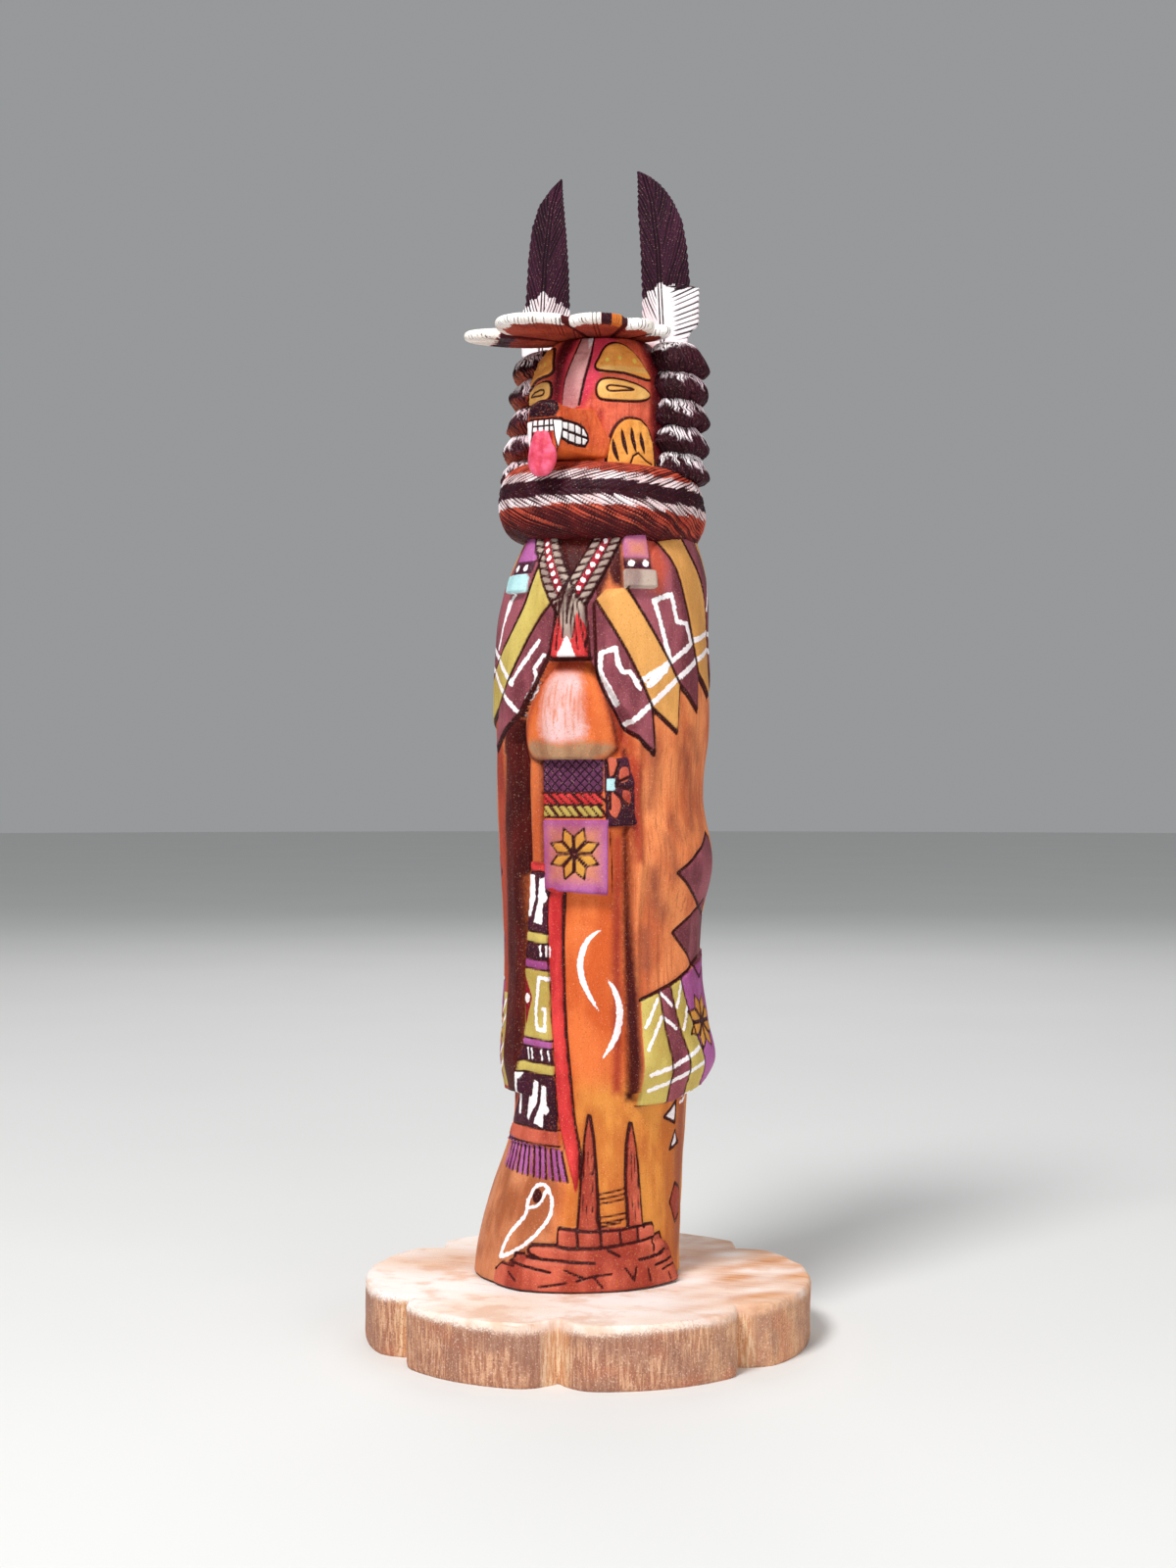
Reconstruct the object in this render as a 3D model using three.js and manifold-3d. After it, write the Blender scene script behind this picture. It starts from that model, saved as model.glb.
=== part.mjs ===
// A carved kachina doll on its scalloped base. Millimetres, +Z up, the doll's front towards -Y.
//
// The doll is cut from one root: robe, feathered cape, fur ruff, head, muzzle and side hair are one solid.
// Angles round the doll are degrees from its front, positive towards +X, the doll's own left.
import * as THREE from "three";
import Module from "manifold-3d";
import { mergeVertices } from "three/addons/utils/BufferGeometryUtils.js";

// ---- Driving dimensions ----------------------------------------------------------------------------
const TOTAL_HEIGHT = 300; // to the tips of the two standing feathers
const GAP = 0.3; // clearance between pieces that touch
const DOLL_AXIS = [2.5, 4]; // the doll's upright axis from the middle of the base

const BASE = { radius: 57.5, thickness: 15.5, roundOver: 1.4 };
const BASE_GROOVES = [-111, -41, 10, 64, 145, 198]; // where the lobes of the base meet
const GROOVE = { depth: 5.5, halfAngle: 5, shoulder: 1.8 };

const GOWN = { foot: BASE.thickness + GAP, hem: 63.4, hemRise: 1, openLeft: -27, openRight: 36 };
const CAPE = {
  firstTip: 149, tipRise: 4.6, firstAngle: 45, open: 9, pitch: 18, notch: 10, throat: 173, relief: 1.3,
};
const NECK = 206; // the body goes up inside the ruff to here

const BELLY = { angle: -5, reach: 17.2, wide: 13, deep: 11, top: 175, middle: 154, low: 147.6 };
const RUFF = { low: 202.4, high: 222.4, radius: 26.7, core: 16, furrows: 24, relief: 0.7, slant: 5, tilt: 1.3 };
const HEAD = { turn: -8, radius: 18.3, top: 254.4, shoulder: 240, dome: 20, low: 208 };
const MUZZLE = { turn: -11, reach: 30.8, tipHalf: 4.9, rootHalf: 9.2, low: 221.5, high: 237.6, taper: 3.4 };
const TONGUE = { turn: -12, reach: 29.9, half: 3.8, thick: 2, low: 217.4, high: 229.6 };
const HAIR = { tiers: 5, low: 222, high: 249.5, tall: 4.5, deep: 8, wide: 9.8 };
const HAIR_SIDES = { // the right side's tiers step in towards the head as they rise
  left: { angle: 94, reach: 19.8, stepIn: 0 },
  right: { angle: -98, reach: 19.8, stepIn: 0.9 },
};
const FAN = { low: HEAD.top + GAP, thickness: 3, seat: 7.5, bevel: 0.7 };
const FEATHER = { thickness: 1.8, foot: TOTAL_HEIGHT - 53, back: 3 };
// Each standing feather: where its foot stands, which way is outward, and its outline as [outward, height].
const FEATHERS = {
  left: {
    place: 14.6,
    outward: 1,
    edge: [
      [-1.6, 0], [1.6, 0], [1.6, 3], [7, 7], [8.2, 10], [10.6, 12.4], [10.7, 21.9], [8.3, 22.4], [7.5, 32.5],
      [6.3, 39.3], [4, 44.3], [0.4, 49.3], [-5.2, 53], [-6.1, 53], [-5.2, 34], [-4.6, 18], [-4.8, 7], [-1.6, 3],
    ],
  },
  right: {
    place: -16.6,
    outward: -1,
    edge: [
      [-1.6, 0], [1.6, 0], [1.6, 3], [6.4, 7], [6.9, 18], [5.6, 19.8], [4.6, 34], [3.7, 39.8], [1.8, 45],
      [-1.6, 49], [-4.6, 51.3], [-5.8, 39.8], [-6.6, 28.6], [-7, 14], [-5, 7], [-1.6, 3],
    ],
  },
};

// Blades of the fan: [direction, length, half angle].
const FAN_BLADES = [[-61, 36, 14], [-24, 35.8, 24], [14, 29.6, 24], [42, 25.4, 18], [70, 21.5, 15]];

// Radii of the robe and of the gown under it: [height, doll's right side, doll's left side].
const ROBE_SIDES = [
  [60, 24.6, 24.4], [64, 25.2, 25.8], [71, 26.4, 28.8], [80, 25.9, 27.0], [92, 25.4, 25.4],
  [107, 25.5, 25.8], [121, 26.3, 28.6], [138, 27.0, 26.2], [157, 27.4, 27.6], [176, 26.8, 26.9],
  [190, 24.8, 26.7], [197, 22.3, 25.7], [206, 18.0, 22.9],
];
const GOWN_SIDES = [
  [15, 33.2, 20.0], [22, 32.2, 20.0], [30, 30.6, 20.2], [40, 27.4, 20.6], [53, 23.2, 21.4],
  [62, 22.4, 22.0], [80, 23.0, 23.0], [107, 22.8, 22.8], [150, 24.0, 24.0], [206, 20, 22],
];
const WIDEST = 108; // direction of the body's wider, side to side, axis

// ---- Small helpers ---------------------------------------------------------------------------------
const { degToRad, lerp, smoothstep, clamp } = THREE.MathUtils;
const wrap = (angle) => ((((angle + 180) % 360) + 360) % 360) - 180;
const step = (value, edge, soft) => smoothstep(value, edge - soft, edge + soft);
const between = (value, low, high, soft) => step(value, low, soft) * (1 - step(value, high, soft));
const polar = (angle, radius) => [radius * Math.sin(degToRad(angle)), -radius * Math.cos(degToRad(angle))];

/** The value of one column of a list of stations at a height, joined by smooth curves. */
function along(stations, column, height) {
  const last = stations.length - 1;
  if (height >= stations[last][0]) return stations[last][column];
  const k = clamp(stations.findIndex((row) => row[0] > height) - 1, 0, last - 1);
  const [before, from, to, after] = [k - 1, k, k + 1, k + 2].map((i) => stations[clamp(i, 0, last)]);
  const span = to[0] - from[0];
  const t = clamp((height - from[0]) / span, 0, 1);
  const slopeIn = (to[column] - before[column]) / (to[0] - before[0]);
  const slopeOut = (after[column] - from[column]) / (after[0] - from[0]);
  return (2 * t ** 3 - 3 * t ** 2 + 1) * from[column] + (t ** 3 - 2 * t ** 2 + t) * span * slopeIn
    + (-2 * t ** 3 + 3 * t ** 2) * to[column] + (t ** 3 - t ** 2) * span * slopeOut;
}

/** Values from one named level to the next, each stretch in equal steps. */
function levels(...stretches) {
  const steps = stretches.flatMap(([from, to, count]) =>
    Array.from({ length: count }, (_, k) => lerp(from, to, k / count)));
  return [...steps, stretches[stretches.length - 1][1]];
}

/** An upright turned shape through the given column angles: rowsAt(angle) gives each column's heights. */
function turned(angles, rowsAt, radiusAt) {
  const columns = angles.length - 1;
  const rows = rowsAt(0).length - 1;
  const geometry = new THREE.CylinderGeometry(1, 1, rows, columns, rows);
  const place = geometry.attributes.position;
  for (let i = 0; i < place.count; i++) {
    const turn = Math.atan2(place.getX(i), place.getZ(i)) / (2 * Math.PI);
    const angle = angles[Math.round((turn < -1e-6 ? turn + 1 : turn) * columns) % columns];
    const onAxis = Math.hypot(place.getX(i), place.getZ(i)) < 0.5;
    const height = rowsAt(onAxis ? 0 : angle)[Math.round(place.getY(i) + rows / 2)];
    const [x, y] = polar(angle, onAxis ? 0 : radiusAt(angle, height));
    place.setXYZ(i, x, y, height);
  }
  return geometry;
}

/** An ellipsoid with its half sizes along x, y and z. */
function ellipsoid(halfX, halfY, halfZ, around, down) {
  return new THREE.SphereGeometry(1, around, down).rotateX(Math.PI / 2).scale(halfX, halfY, halfZ);
}

/** Moves a shape made facing -Y at the axis out to an angle, a reach and a height. */
function setOut(geometry, angle, reach, height) {
  return geometry.translate(0, -reach, height).rotateZ(degToRad(angle));
}

/** A raised slab that follows the ground it lies on. top may be a height or a function of 0..1 across. */
function slab(ground, { from, to, low, top, proud, across = 3, up = 1, sink = 2.5 }) {
  const geometry = new THREE.BoxGeometry(1, 1, 1, across, 1, up);
  const place = geometry.attributes.position;
  for (let i = 0; i < place.count; i++) {
    const share = place.getX(i) + 0.5;
    const angle = lerp(from, to, share);
    const height = lerp(low, typeof top === "function" ? top(share) : top, place.getZ(i) + 0.5);
    const radius = ground(angle, height) + (place.getY(i) < 0 ? proud : -sink);
    const [x, y] = polar(angle, radius);
    place.setXYZ(i, x, y, height);
  }
  return geometry;
}

// ---- Solids ----------------------------------------------------------------------------------------
const wasm = await Module();
wasm.setup();

/** A manifold solid from a closed three.js geometry. */
function solid(geometry) {
  const bare = geometry.clone();
  bare.deleteAttribute("normal");
  bare.deleteAttribute("uv");
  const merged = mergeVertices(bare, 1e-4);
  const corners = merged.index.array;
  const kept = [];
  for (let i = 0; i < corners.length; i += 3) {
    const [a, b, c] = corners.slice(i, i + 3);
    if (a !== b && b !== c && c !== a) kept.push(a, b, c);
  }
  return new wasm.Manifold(new wasm.Mesh({
    numProp: 3, vertProperties: merged.attributes.position.array, triVerts: new Uint32Array(kept),
  }));
}

/** A three.js geometry from a manifold solid. */
function toGeometry(made) {
  const mesh = made.getMesh();
  const geometry = new THREE.BufferGeometry();
  geometry.setAttribute("position", new THREE.BufferAttribute(mesh.vertProperties, 3));
  geometry.setIndex(new THREE.BufferAttribute(mesh.triVerts, 1));
  geometry.computeVertexNormals();
  return geometry;
}

// ---- Base: a round slab whose edge is cut into six lobes -------------------------------------------
function baseRadius(angle) {
  const nearest = Math.min(...BASE_GROOVES.map((groove) => Math.abs(wrap(angle - groove))));
  const notch = Math.exp(-((nearest / GROOVE.halfAngle) ** 2));
  return BASE.radius - GROOVE.shoulder * Math.exp(-nearest / 16) - GROOVE.depth * notch;
}

function makeBase() {
  const [edge, round] = [BASE.thickness - BASE.roundOver, BASE.roundOver];
  const shrink = (height) => round * (1 - Math.sqrt(Math.max(0, 1 - (Math.max(0, height - edge) / round) ** 2)));
  const heights = [0, edge, edge + round * 0.5, edge + round * 0.87, BASE.thickness];
  const radius = (angle, height) => baseRadius(angle) - shrink(height);
  const geometry = turned(levels([0, 360, 80]), () => heights, radius);
  geometry.computeBoundingBox();
  const middle = geometry.boundingBox.getCenter(new THREE.Vector3());
  return geometry.translate(-middle.x, -middle.y, 0);
}

// ---- Robe, gown and cape ---------------------------------------------------------------------------
/** The plan of the body: its two side radii, a little flatter in front and behind. */
function plan(stations, angle, height) {
  const [right, left] = [along(stations, 1, height), along(stations, 2, height)];
  const side = (right + left) / 2;
  const depth = side * 0.93;
  const off = degToRad(angle - WIDEST);
  return (side + depth) / 2 + ((left - right) / 2) * Math.cos(off) + ((side - depth) / 2) * Math.cos(2 * off);
}
const gown = (angle, height) => plan(GOWN_SIDES, angle, height);
const robe = (angle, height) => plan(ROBE_SIDES, angle, height);

/** Height of the cape's lower edge: a row of feather points that meets in a peak at the throat. */
function capeEdge(angle) {
  const side = Math.abs(wrap(angle));
  if (side < CAPE.firstAngle) {
    return lerp(CAPE.throat, CAPE.firstTip, clamp((side - CAPE.open) / (CAPE.firstAngle - CAPE.open), 0, 1));
  }
  const count = (side - CAPE.firstAngle) / CAPE.pitch;
  return CAPE.firstTip + CAPE.tipRise * Math.min(count, 3) + CAPE.notch * (1 - Math.abs(1 - 2 * (count % 1)));
}

/** Height of the robe's hem, which hangs a little lower on the doll's right side. */
function hemEdge(angle) {
  return GOWN.hem + GOWN.hemRise * Math.sin(degToRad(angle));
}

/** Heights of one column of the body; pairs of rows run along the hem and along the cape's edge. */
function bodyRows(angle) {
  const [hem, edge] = [hemEdge(angle), capeEdge(angle)];
  return levels(
    [GOWN.foot, 32, 4], [32, hem - 0.5, 5], [hem - 0.5, hem + 0.5, 1], [hem + 0.5, 134, 9],
    [134, edge - 0.4, 4], [edge - 0.4, edge + 0.4, 1], [edge + 0.4, 188, 4], [188, NECK, 4],
  );
}

function bodyRadius(angle, height) {
  const outer = robe(angle, height) + CAPE.relief * step(height, capeEdge(angle), 0.3);
  const open = between(wrap(angle), GOWN.openLeft, GOWN.openRight, 1) * (1 - step(height, capeEdge(angle), 0.3));
  const robed = step(height, hemEdge(angle), 0.4) * (1 - open);
  return lerp(gown(angle, height), outer, robed);
}

/** Everything that stands proud on the front: belt, apron, sash, ladder, house, beads and ear drops. */
function frontPieces() {
  const below = (angle) => lerp(-27, -31, clamp((121 - angle) / 80, 0, 1));
  const pole = (middle) => slab(gown, {
    from: middle - 2.6, to: middle + 2.6, low: 26, top: (t) => 58 - 5 * Math.abs(2 * t - 1), proud: 1, across: 2,
  });
  const course = (from, to, top, proud) => slab(gown, {
    from, to, low: GOWN.foot, top, proud, across: Math.round((to - from) / 9), up: 2,
  });
  return [
    slab(gown, { from: -19, to: 16, low: 132, top: 148.5, proud: 2.2 }),
    slab(gown, { from: -20, to: 20, low: 113.5, top: 132.5, proud: 3.4 }),
    slab(gown, { from: 16, to: 33, low: 130.5, top: 148, proud: 1.8 }),
    slab(gown, { from: below(121), to: -10, low: 47, top: 121, proud: 1.4, up: 5 }),
    pole(9), pole(38),
    course(-42, 80, 21.5, 2.6), course(-21, 64, 26.5, 1.8), course(-8, 55, 31, 1),
    slab(robe, { from: 37, to: 60, low: 60.8, top: 87, proud: 0.8 }),
    slab(robe, { from: 30, to: 48, low: 190, top: 194.6, proud: 3.4 }),
    slab(robe, { from: 30, to: 46, low: 194, top: 205, proud: 2.4 }),
    slab(robe, { from: -46, to: -27, low: 190, top: 194.6, proud: 3.4 }),
    slab(robe, { from: -45, to: -29, low: 194, top: 205, proud: 2.4 }),
    slab(robe, { from: -9, to: 9, low: 172, top: (t) => 184 - 9 * Math.abs(2 * t - 1), proud: 2.6, across: 2 }),
  ];
}

/** The bare belly: a dome with a flat lower rim. */
function makeBelly() {
  const dome = ellipsoid(BELLY.wide, BELLY.deep, BELLY.top - BELLY.middle, 16, 10).translate(0, 0, BELLY.middle);
  const place = dome.attributes.position;
  for (let i = 0; i < place.count; i++) place.setZ(i, Math.max(place.getZ(i), BELLY.low));
  return setOut(dome, BELLY.angle, BELLY.reach, 0);
}

// ---- Fur ruff --------------------------------------------------------------------------------------
function makeRuff() {
  const middle = (RUFF.low + RUFF.high) / 2;
  const half = (RUFF.high - RUFF.low) / 2;
  const swell = (RUFF.radius - RUFF.core);
  const round = Array.from({ length: 8 }, (_, i) => degToRad(-90 + (180 / 7) * i));
  const rim = round.map((a) => new THREE.Vector2(
    RUFF.core + swell * Math.max(0, Math.cos(a)) ** 0.55, middle + half * Math.sin(a)));
  const profile = [new THREE.Vector2(0, RUFF.low), ...rim, new THREE.Vector2(0, RUFF.high)];
  const geometry = new THREE.LatheGeometry(profile, 2 * RUFF.furrows).rotateX(Math.PI / 2);
  const place = geometry.attributes.position;
  for (let i = 0; i < place.count; i++) {
    const [x, y, z] = [place.getX(i), place.getY(i), place.getZ(i)];
    const out = Math.hypot(x, y);
    const lock = Math.round(((Math.atan2(x, -y) + Math.PI) * RUFF.furrows) / Math.PI) % 2;
    const scale = out > RUFF.core + 3 ? 1 + ((lock ? 1 : -1) * RUFF.relief) / out : 1;
    const lean = degToRad((RUFF.slant * Math.abs(z - middle)) / half);
    const [cos, sin] = [Math.cos(lean) * scale, Math.sin(lean) * scale];
    place.setXYZ(i, x * cos - y * sin, x * sin + y * cos, z - (RUFF.tilt * x) / RUFF.radius);
  }
  return geometry;
}

// ---- Head ------------------------------------------------------------------------------------------
function headRadius(angle, height) {
  const rise = Math.max(0, height - HEAD.shoulder) / HEAD.dome;
  return HEAD.radius * Math.sqrt(Math.max(0, 1 - rise ** 2));
}

/** Brow, eye and cheek stand a little proud of the mask, one set each side of its middle line. */
function facePieces() {
  const both = (near, far, rest) => [1, -1].map((side) => {
    const ends = [HEAD.turn + side * near, HEAD.turn + side * far].sort((a, b) => a - b);
    return slab(headRadius, { from: ends[0], to: ends[1], proud: 0.9, across: 6, ...rest });
  });
  const arch = (low, high) => (t) => low + (high - low) * Math.sqrt(Math.max(0.02, 1 - (2 * t - 1) ** 2));
  return [
    ...both(21, 64, { low: 243.6, top: arch(243.9, 250.4) }),
    ...both(21, 66, { low: 237, top: 241.6 }),
    ...both(36, 68, { low: 222, top: arch(222.5, 232.4) }),
    slab(headRadius, { from: HEAD.turn - 5, to: HEAD.turn + 5, low: 236, top: 250, proud: 0.9, across: 2 }),
  ];
}

/** The snout narrows forwards; its section is a box with well rounded corners. */
function makeMuzzle() {
  const geometry = new THREE.CylinderGeometry(1, 1, 1, 16, 4).rotateX(Math.PI / 2);
  const place = geometry.attributes.position;
  for (let i = 0; i < place.count; i++) {
    const forward = 0.5 - place.getZ(i);
    const [across, up] = [-place.getX(i), place.getY(i)];
    const square = Math.max(Math.abs(across), Math.abs(up), 1e-6) / Math.max(Math.hypot(across, up), 1e-6);
    const full = 1 / lerp(1, square, 0.62);
    const half = lerp(MUZZLE.rootHalf, MUZZLE.tipHalf, forward) * full;
    const tall = (MUZZLE.high - MUZZLE.low - MUZZLE.taper * forward) / 2;
    const middle = (MUZZLE.high + MUZZLE.low) / 2;
    place.setXYZ(i, across * half, -lerp(10, MUZZLE.reach, forward), middle + up * tall * full * 0.98);
  }
  return geometry.rotateZ(degToRad(MUZZLE.turn));
}

/** The lolling tongue: it starts inside the mouth and hangs down over the chin. */
function makeTongue() {
  const tall = (TONGUE.high - TONGUE.low) / 2;
  const tongue = ellipsoid(TONGUE.half, TONGUE.thick, tall, 12, 8);
  return setOut(tongue, TONGUE.turn, TONGUE.reach, TONGUE.low + tall);
}

/** One tier of the side hair. */
function makeTier({ angle, reach, stepIn }, k) {
  const height = lerp(HAIR.low, HAIR.high, k / (HAIR.tiers - 1));
  return setOut(ellipsoid(HAIR.wide, HAIR.deep, HAIR.tall, 12, 6), angle, reach - stepIn * k, height);
}

// ---- Feathers --------------------------------------------------------------------------------------
/** A blade standing in the XZ plane, its outer edge curved in to the tip. */
function makeFeather({ place, outward, edge }, thickness = FEATHER.thickness) {
  const outline = new THREE.Shape(edge.map(([x, y]) => new THREE.Vector2(x * outward, y)));
  const blade = new THREE.ExtrudeGeometry(outline, { depth: thickness, bevelEnabled: false });
  blade.translate(0, 0, -thickness / 2).rotateX(Math.PI / 2);
  return blade.translate(place, FEATHER.back, FEATHER.foot);
}

/** The flat fan of feathers that lies on the head and juts out over the brow. */
function fanRadius(angle) {
  const reach = FAN_BLADES.map(([aim, length, half]) => length * (1 - 0.28 * (wrap(angle - aim) / half) ** 2));
  return Math.max(FAN.seat, ...reach);
}

function makeFan() {
  const edge = levels([0, 354, 59]).map((angle) => polar(angle, fanRadius(angle) - FAN.bevel));
  const outline = new THREE.Shape(edge.map(([x, y]) => new THREE.Vector2(x, y)));
  return new THREE.ExtrudeGeometry(outline, {
    depth: FAN.thickness - 2 * FAN.bevel, bevelThickness: FAN.bevel, bevelSize: FAN.bevel, bevelSegments: 1,
  }).translate(0, 0, FAN.low + FAN.bevel);
}

// ---- The carved figure -----------------------------------------------------------------------------
function makeFigure() {
  const bodyColumns = levels([-63, 63, 28], [63, 297, 26]);
  const headRows = levels([HEAD.low, 218, 1], [218, HEAD.shoulder, 2], [HEAD.shoulder, HEAD.top, 5]);
  const forms = [
    turned(bodyColumns, bodyRows, bodyRadius), makeBelly(), ...frontPieces(), makeRuff(),
    turned(levels([0, 360, 28]), () => headRows, headRadius), ...facePieces(), makeMuzzle(), makeTongue(),
  ];
  for (const side of Object.values(HAIR_SIDES)) {
    for (let k = 0; k < HAIR.tiers; k++) forms.push(makeTier(side, k));
  }
  const whole = forms.map(solid).reduce((sum, form) => sum.add(form));
  const sockets = Object.values(FEATHERS).map(
    (feather) => makeFeather(feather, FEATHER.thickness + 2 * GAP).translate(0, 0, -GAP));
  return toGeometry(sockets.map(solid).reduce((rest, socket) => rest.subtract(socket), whole));
}

// ---- Scene graph -----------------------------------------------------------------------------------
function part(name, geometry, colour, roughness) {
  const material = new THREE.MeshStandardMaterial({ color: colour, roughness, metalness: 0 });
  const mesh = new THREE.Mesh(geometry, material);
  mesh.name = name;
  return mesh;
}

const group = new THREE.Group();
group.add(part("base", makeBase(), 0xd9c3a0, 0.8));

const doll = new THREE.Group();
doll.position.set(DOLL_AXIS[0], DOLL_AXIS[1], 0);
doll.add(part("figure", makeFigure(), 0xb8713a, 0.6));
doll.add(part("feather_fan", makeFan(), 0x7a3a26, 0.6));
doll.add(part("feather_right", makeFeather(FEATHERS.right), 0x2c1a24, 0.65));
doll.add(part("feather_left", makeFeather(FEATHERS.left), 0x2c1a24, 0.65));
group.add(doll);

export default group;
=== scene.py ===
"""Looks of the carved and painted kachina doll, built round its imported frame."""

from __future__ import annotations

import logging
import math
from dataclasses import dataclass, field
from enum import Enum
from typing import Callable

import bmesh
import bpy
import numpy as np
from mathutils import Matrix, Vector

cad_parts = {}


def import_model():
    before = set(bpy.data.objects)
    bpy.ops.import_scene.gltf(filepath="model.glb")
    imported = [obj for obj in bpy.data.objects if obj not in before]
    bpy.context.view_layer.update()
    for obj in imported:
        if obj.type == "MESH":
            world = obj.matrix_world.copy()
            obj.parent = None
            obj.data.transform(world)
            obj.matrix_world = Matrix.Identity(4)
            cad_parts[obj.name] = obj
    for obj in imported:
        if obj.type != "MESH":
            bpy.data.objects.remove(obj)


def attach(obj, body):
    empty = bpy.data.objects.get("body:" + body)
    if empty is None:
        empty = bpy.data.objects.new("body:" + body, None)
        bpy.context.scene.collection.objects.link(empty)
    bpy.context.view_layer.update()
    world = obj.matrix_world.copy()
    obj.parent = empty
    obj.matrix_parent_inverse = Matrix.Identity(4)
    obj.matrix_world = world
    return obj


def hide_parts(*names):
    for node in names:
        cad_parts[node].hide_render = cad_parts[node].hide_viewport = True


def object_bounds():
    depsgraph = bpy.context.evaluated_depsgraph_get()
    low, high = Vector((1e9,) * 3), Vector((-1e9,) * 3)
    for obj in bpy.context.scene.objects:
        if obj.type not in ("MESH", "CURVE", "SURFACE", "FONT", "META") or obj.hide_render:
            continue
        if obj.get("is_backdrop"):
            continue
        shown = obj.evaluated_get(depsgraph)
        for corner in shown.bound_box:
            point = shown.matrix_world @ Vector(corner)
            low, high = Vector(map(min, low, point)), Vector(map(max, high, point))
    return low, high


LOG = logging.getLogger("kachina")

Point = tuple[float, float]
Stations = tuple[Point, ...]
Colour = tuple[int, int, int]
Triple = tuple[float, float, float]
Array = np.ndarray
Piece = bpy.types.Object
Material = bpy.types.Material
Socket = bpy.types.NodeSocket

MM = 0.001
DOLL_AXIS: Point = (2.5, 4.0)
FIELD_REACH = 7.0  # millimetres past which a paint's distance isn't followed
ARC = math.pi / 180


# ---- Numbers and curves ----
def ease(value: Array, low: float, high: float) -> Array:
    """Rises smoothly from 0 at low to 1 at high."""
    share = np.clip((value - low) / (high - low), 0, 1)
    return share * share * (3 - 2 * share)


def step(value: Array, edge: Array | float, soft: float) -> Array:
    """A smooth step of half width soft at an edge."""
    return ease(value - edge, -soft, soft)


def bell(value: Array, middle: Array | float, width: Array | float) -> Array:
    """A smooth hump: 1 at its middle, a third at width beside it and 0 far off."""
    return np.exp(-(((value - middle) / width) ** 2))


def wrap(angle: Array) -> Array:
    """Brings degrees into -180 to 180."""
    return (np.asarray(angle) + 180) % 360 - 180


def along(stations: Stations, height: Array) -> Array:
    """The value of a list of stations at a height, joined by smooth curves.

    Args:
        stations: pairs of height and value, from the lowest up.
        height: heights to read.

    Returns:
        One value for each height.
    """
    levels = np.array([row[0] for row in stations])
    values = np.array([row[1] for row in stations])
    last = len(levels) - 1
    height = np.clip(height, levels[0], levels[-1])
    k = np.clip(np.searchsorted(levels, height, side="right") - 1, 0, last - 1)
    before, after = np.maximum(k - 1, 0), np.minimum(k + 2, last)
    span = levels[k + 1] - levels[k]
    t = (height - levels[k]) / span
    slope_in = (values[k + 1] - values[before]) / (levels[k + 1] - levels[before])
    slope_out = (values[after] - values[k]) / (levels[after] - levels[k])
    start = (2 * t**3 - 3 * t**2 + 1) * values[k] + (t**3 - 2 * t**2 + t) * span * slope_in
    return start + (-2 * t**3 + 3 * t**2) * values[k + 1] + (t**3 - t**2) * span * slope_out


def ripple(x: Array, y: Array, seed: int, size: float) -> Array:
    """A smooth seeded unevenness between about -1 and 1, as a hand tool leaves.

    Args:
        x: first place, in millimetres.
        y: second place, in millimetres.
        seed: which of the patterns.
        size: about how long its waves are, in millimetres.

    Returns:
        The unevenness at each place.
    """
    rng = np.random.default_rng(seed)
    total = np.zeros(np.broadcast(x, y).shape)
    for _ in range(7):
        turn, phase = rng.uniform(0, 2 * math.pi, 2)
        wave = 2 * math.pi / (size * rng.uniform(0.6, 1.7))
        total += np.sin((x * math.cos(turn) + y * math.sin(turn)) * wave + phase)
    return total / 3.5


def softened(points: list[Point], closed: bool = False, between: int = 5) -> list[Point]:
    """A smooth curve through a few points.

    Args:
        points: the points it passes through.
        closed: whether it comes back to its start.
        between: steps from one point to the next.

    Returns:
        The points of the curve.
    """
    count = len(points)
    if count < 3:
        return points

    def at(i: int) -> Vector:
        """One of the points, held at the ends of an open curve."""
        return Vector(points[i % count] if closed else points[min(max(i, 0), count - 1)])

    curve = []
    for i in range(count if closed else count - 1):
        a, b, c, d = (at(i + k) for k in (-1, 0, 1, 2))
        for k in range(between):
            t = k / between
            p = 0.5 * (
                2 * b + (c - a) * t + (2 * a - 5 * b + 4 * c - d) * t**2 + (3 * b - a - 3 * c + d) * t**3)
            curve.append((p.x, p.y))
    if not closed:
        curve.append(points[-1])
    return curve


# ---- Paint laid out on a surface ----
class Paint(Enum):
    """The paints and stains of the doll, with the painted shade and the painted highlight laid among them;
    each value names the attribute that carries it.
    """

    GOWN = "gown_stain"
    GOWN_LOW = "gown_low_stain"
    FLARE = "flare_stain"
    # dark stain on the robe's edges, and painted shade in grooves and creases, under the ruff, beside raised
    # forms and between face and hair
    DARK_STAIN_AND_SHADE = "dark_stain_and_painted_shade"
    # red-brown stain, and painted shade round the belly, under the tassel, beside the robe's edges, in the
    # crease by the snout and along the hair
    RED_STAIN_AND_SHADE = "red_stain_and_painted_shade"
    OCHRE = "ochre"
    OLIVE = "olive"
    MAROON = "maroon"
    RED = "red"
    CRIMSON = "crimson"
    PURPLE = "purple"
    ROSE = "rose"
    GREY = "grey"
    TURQUOISE = "turquoise"
    # pale paint; on the belly its pale middle is a painted highlight
    PALE = "pale"
    TAN = "tan"
    BRICK = "brick"
    INK = "ink"
    PETAL = "petal"
    WHITE = "white"
    BURN = "burn"
    RUST = "rust"
    # soft stains, and painted shade beside the raised strip by the belt and down the gown's right side
    SMUDGE_AND_SHADE = "smudge_stain_and_painted_shade"
    STREAK = "streak"


@dataclass(frozen=True)
class Stroke:
    """A brush stroke or burnt line through points, in the surface's own coordinates."""

    points: list[Point]
    width: float = 0.8
    curved: bool = False
    closed: bool = False
    tapered: bool = False


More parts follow.
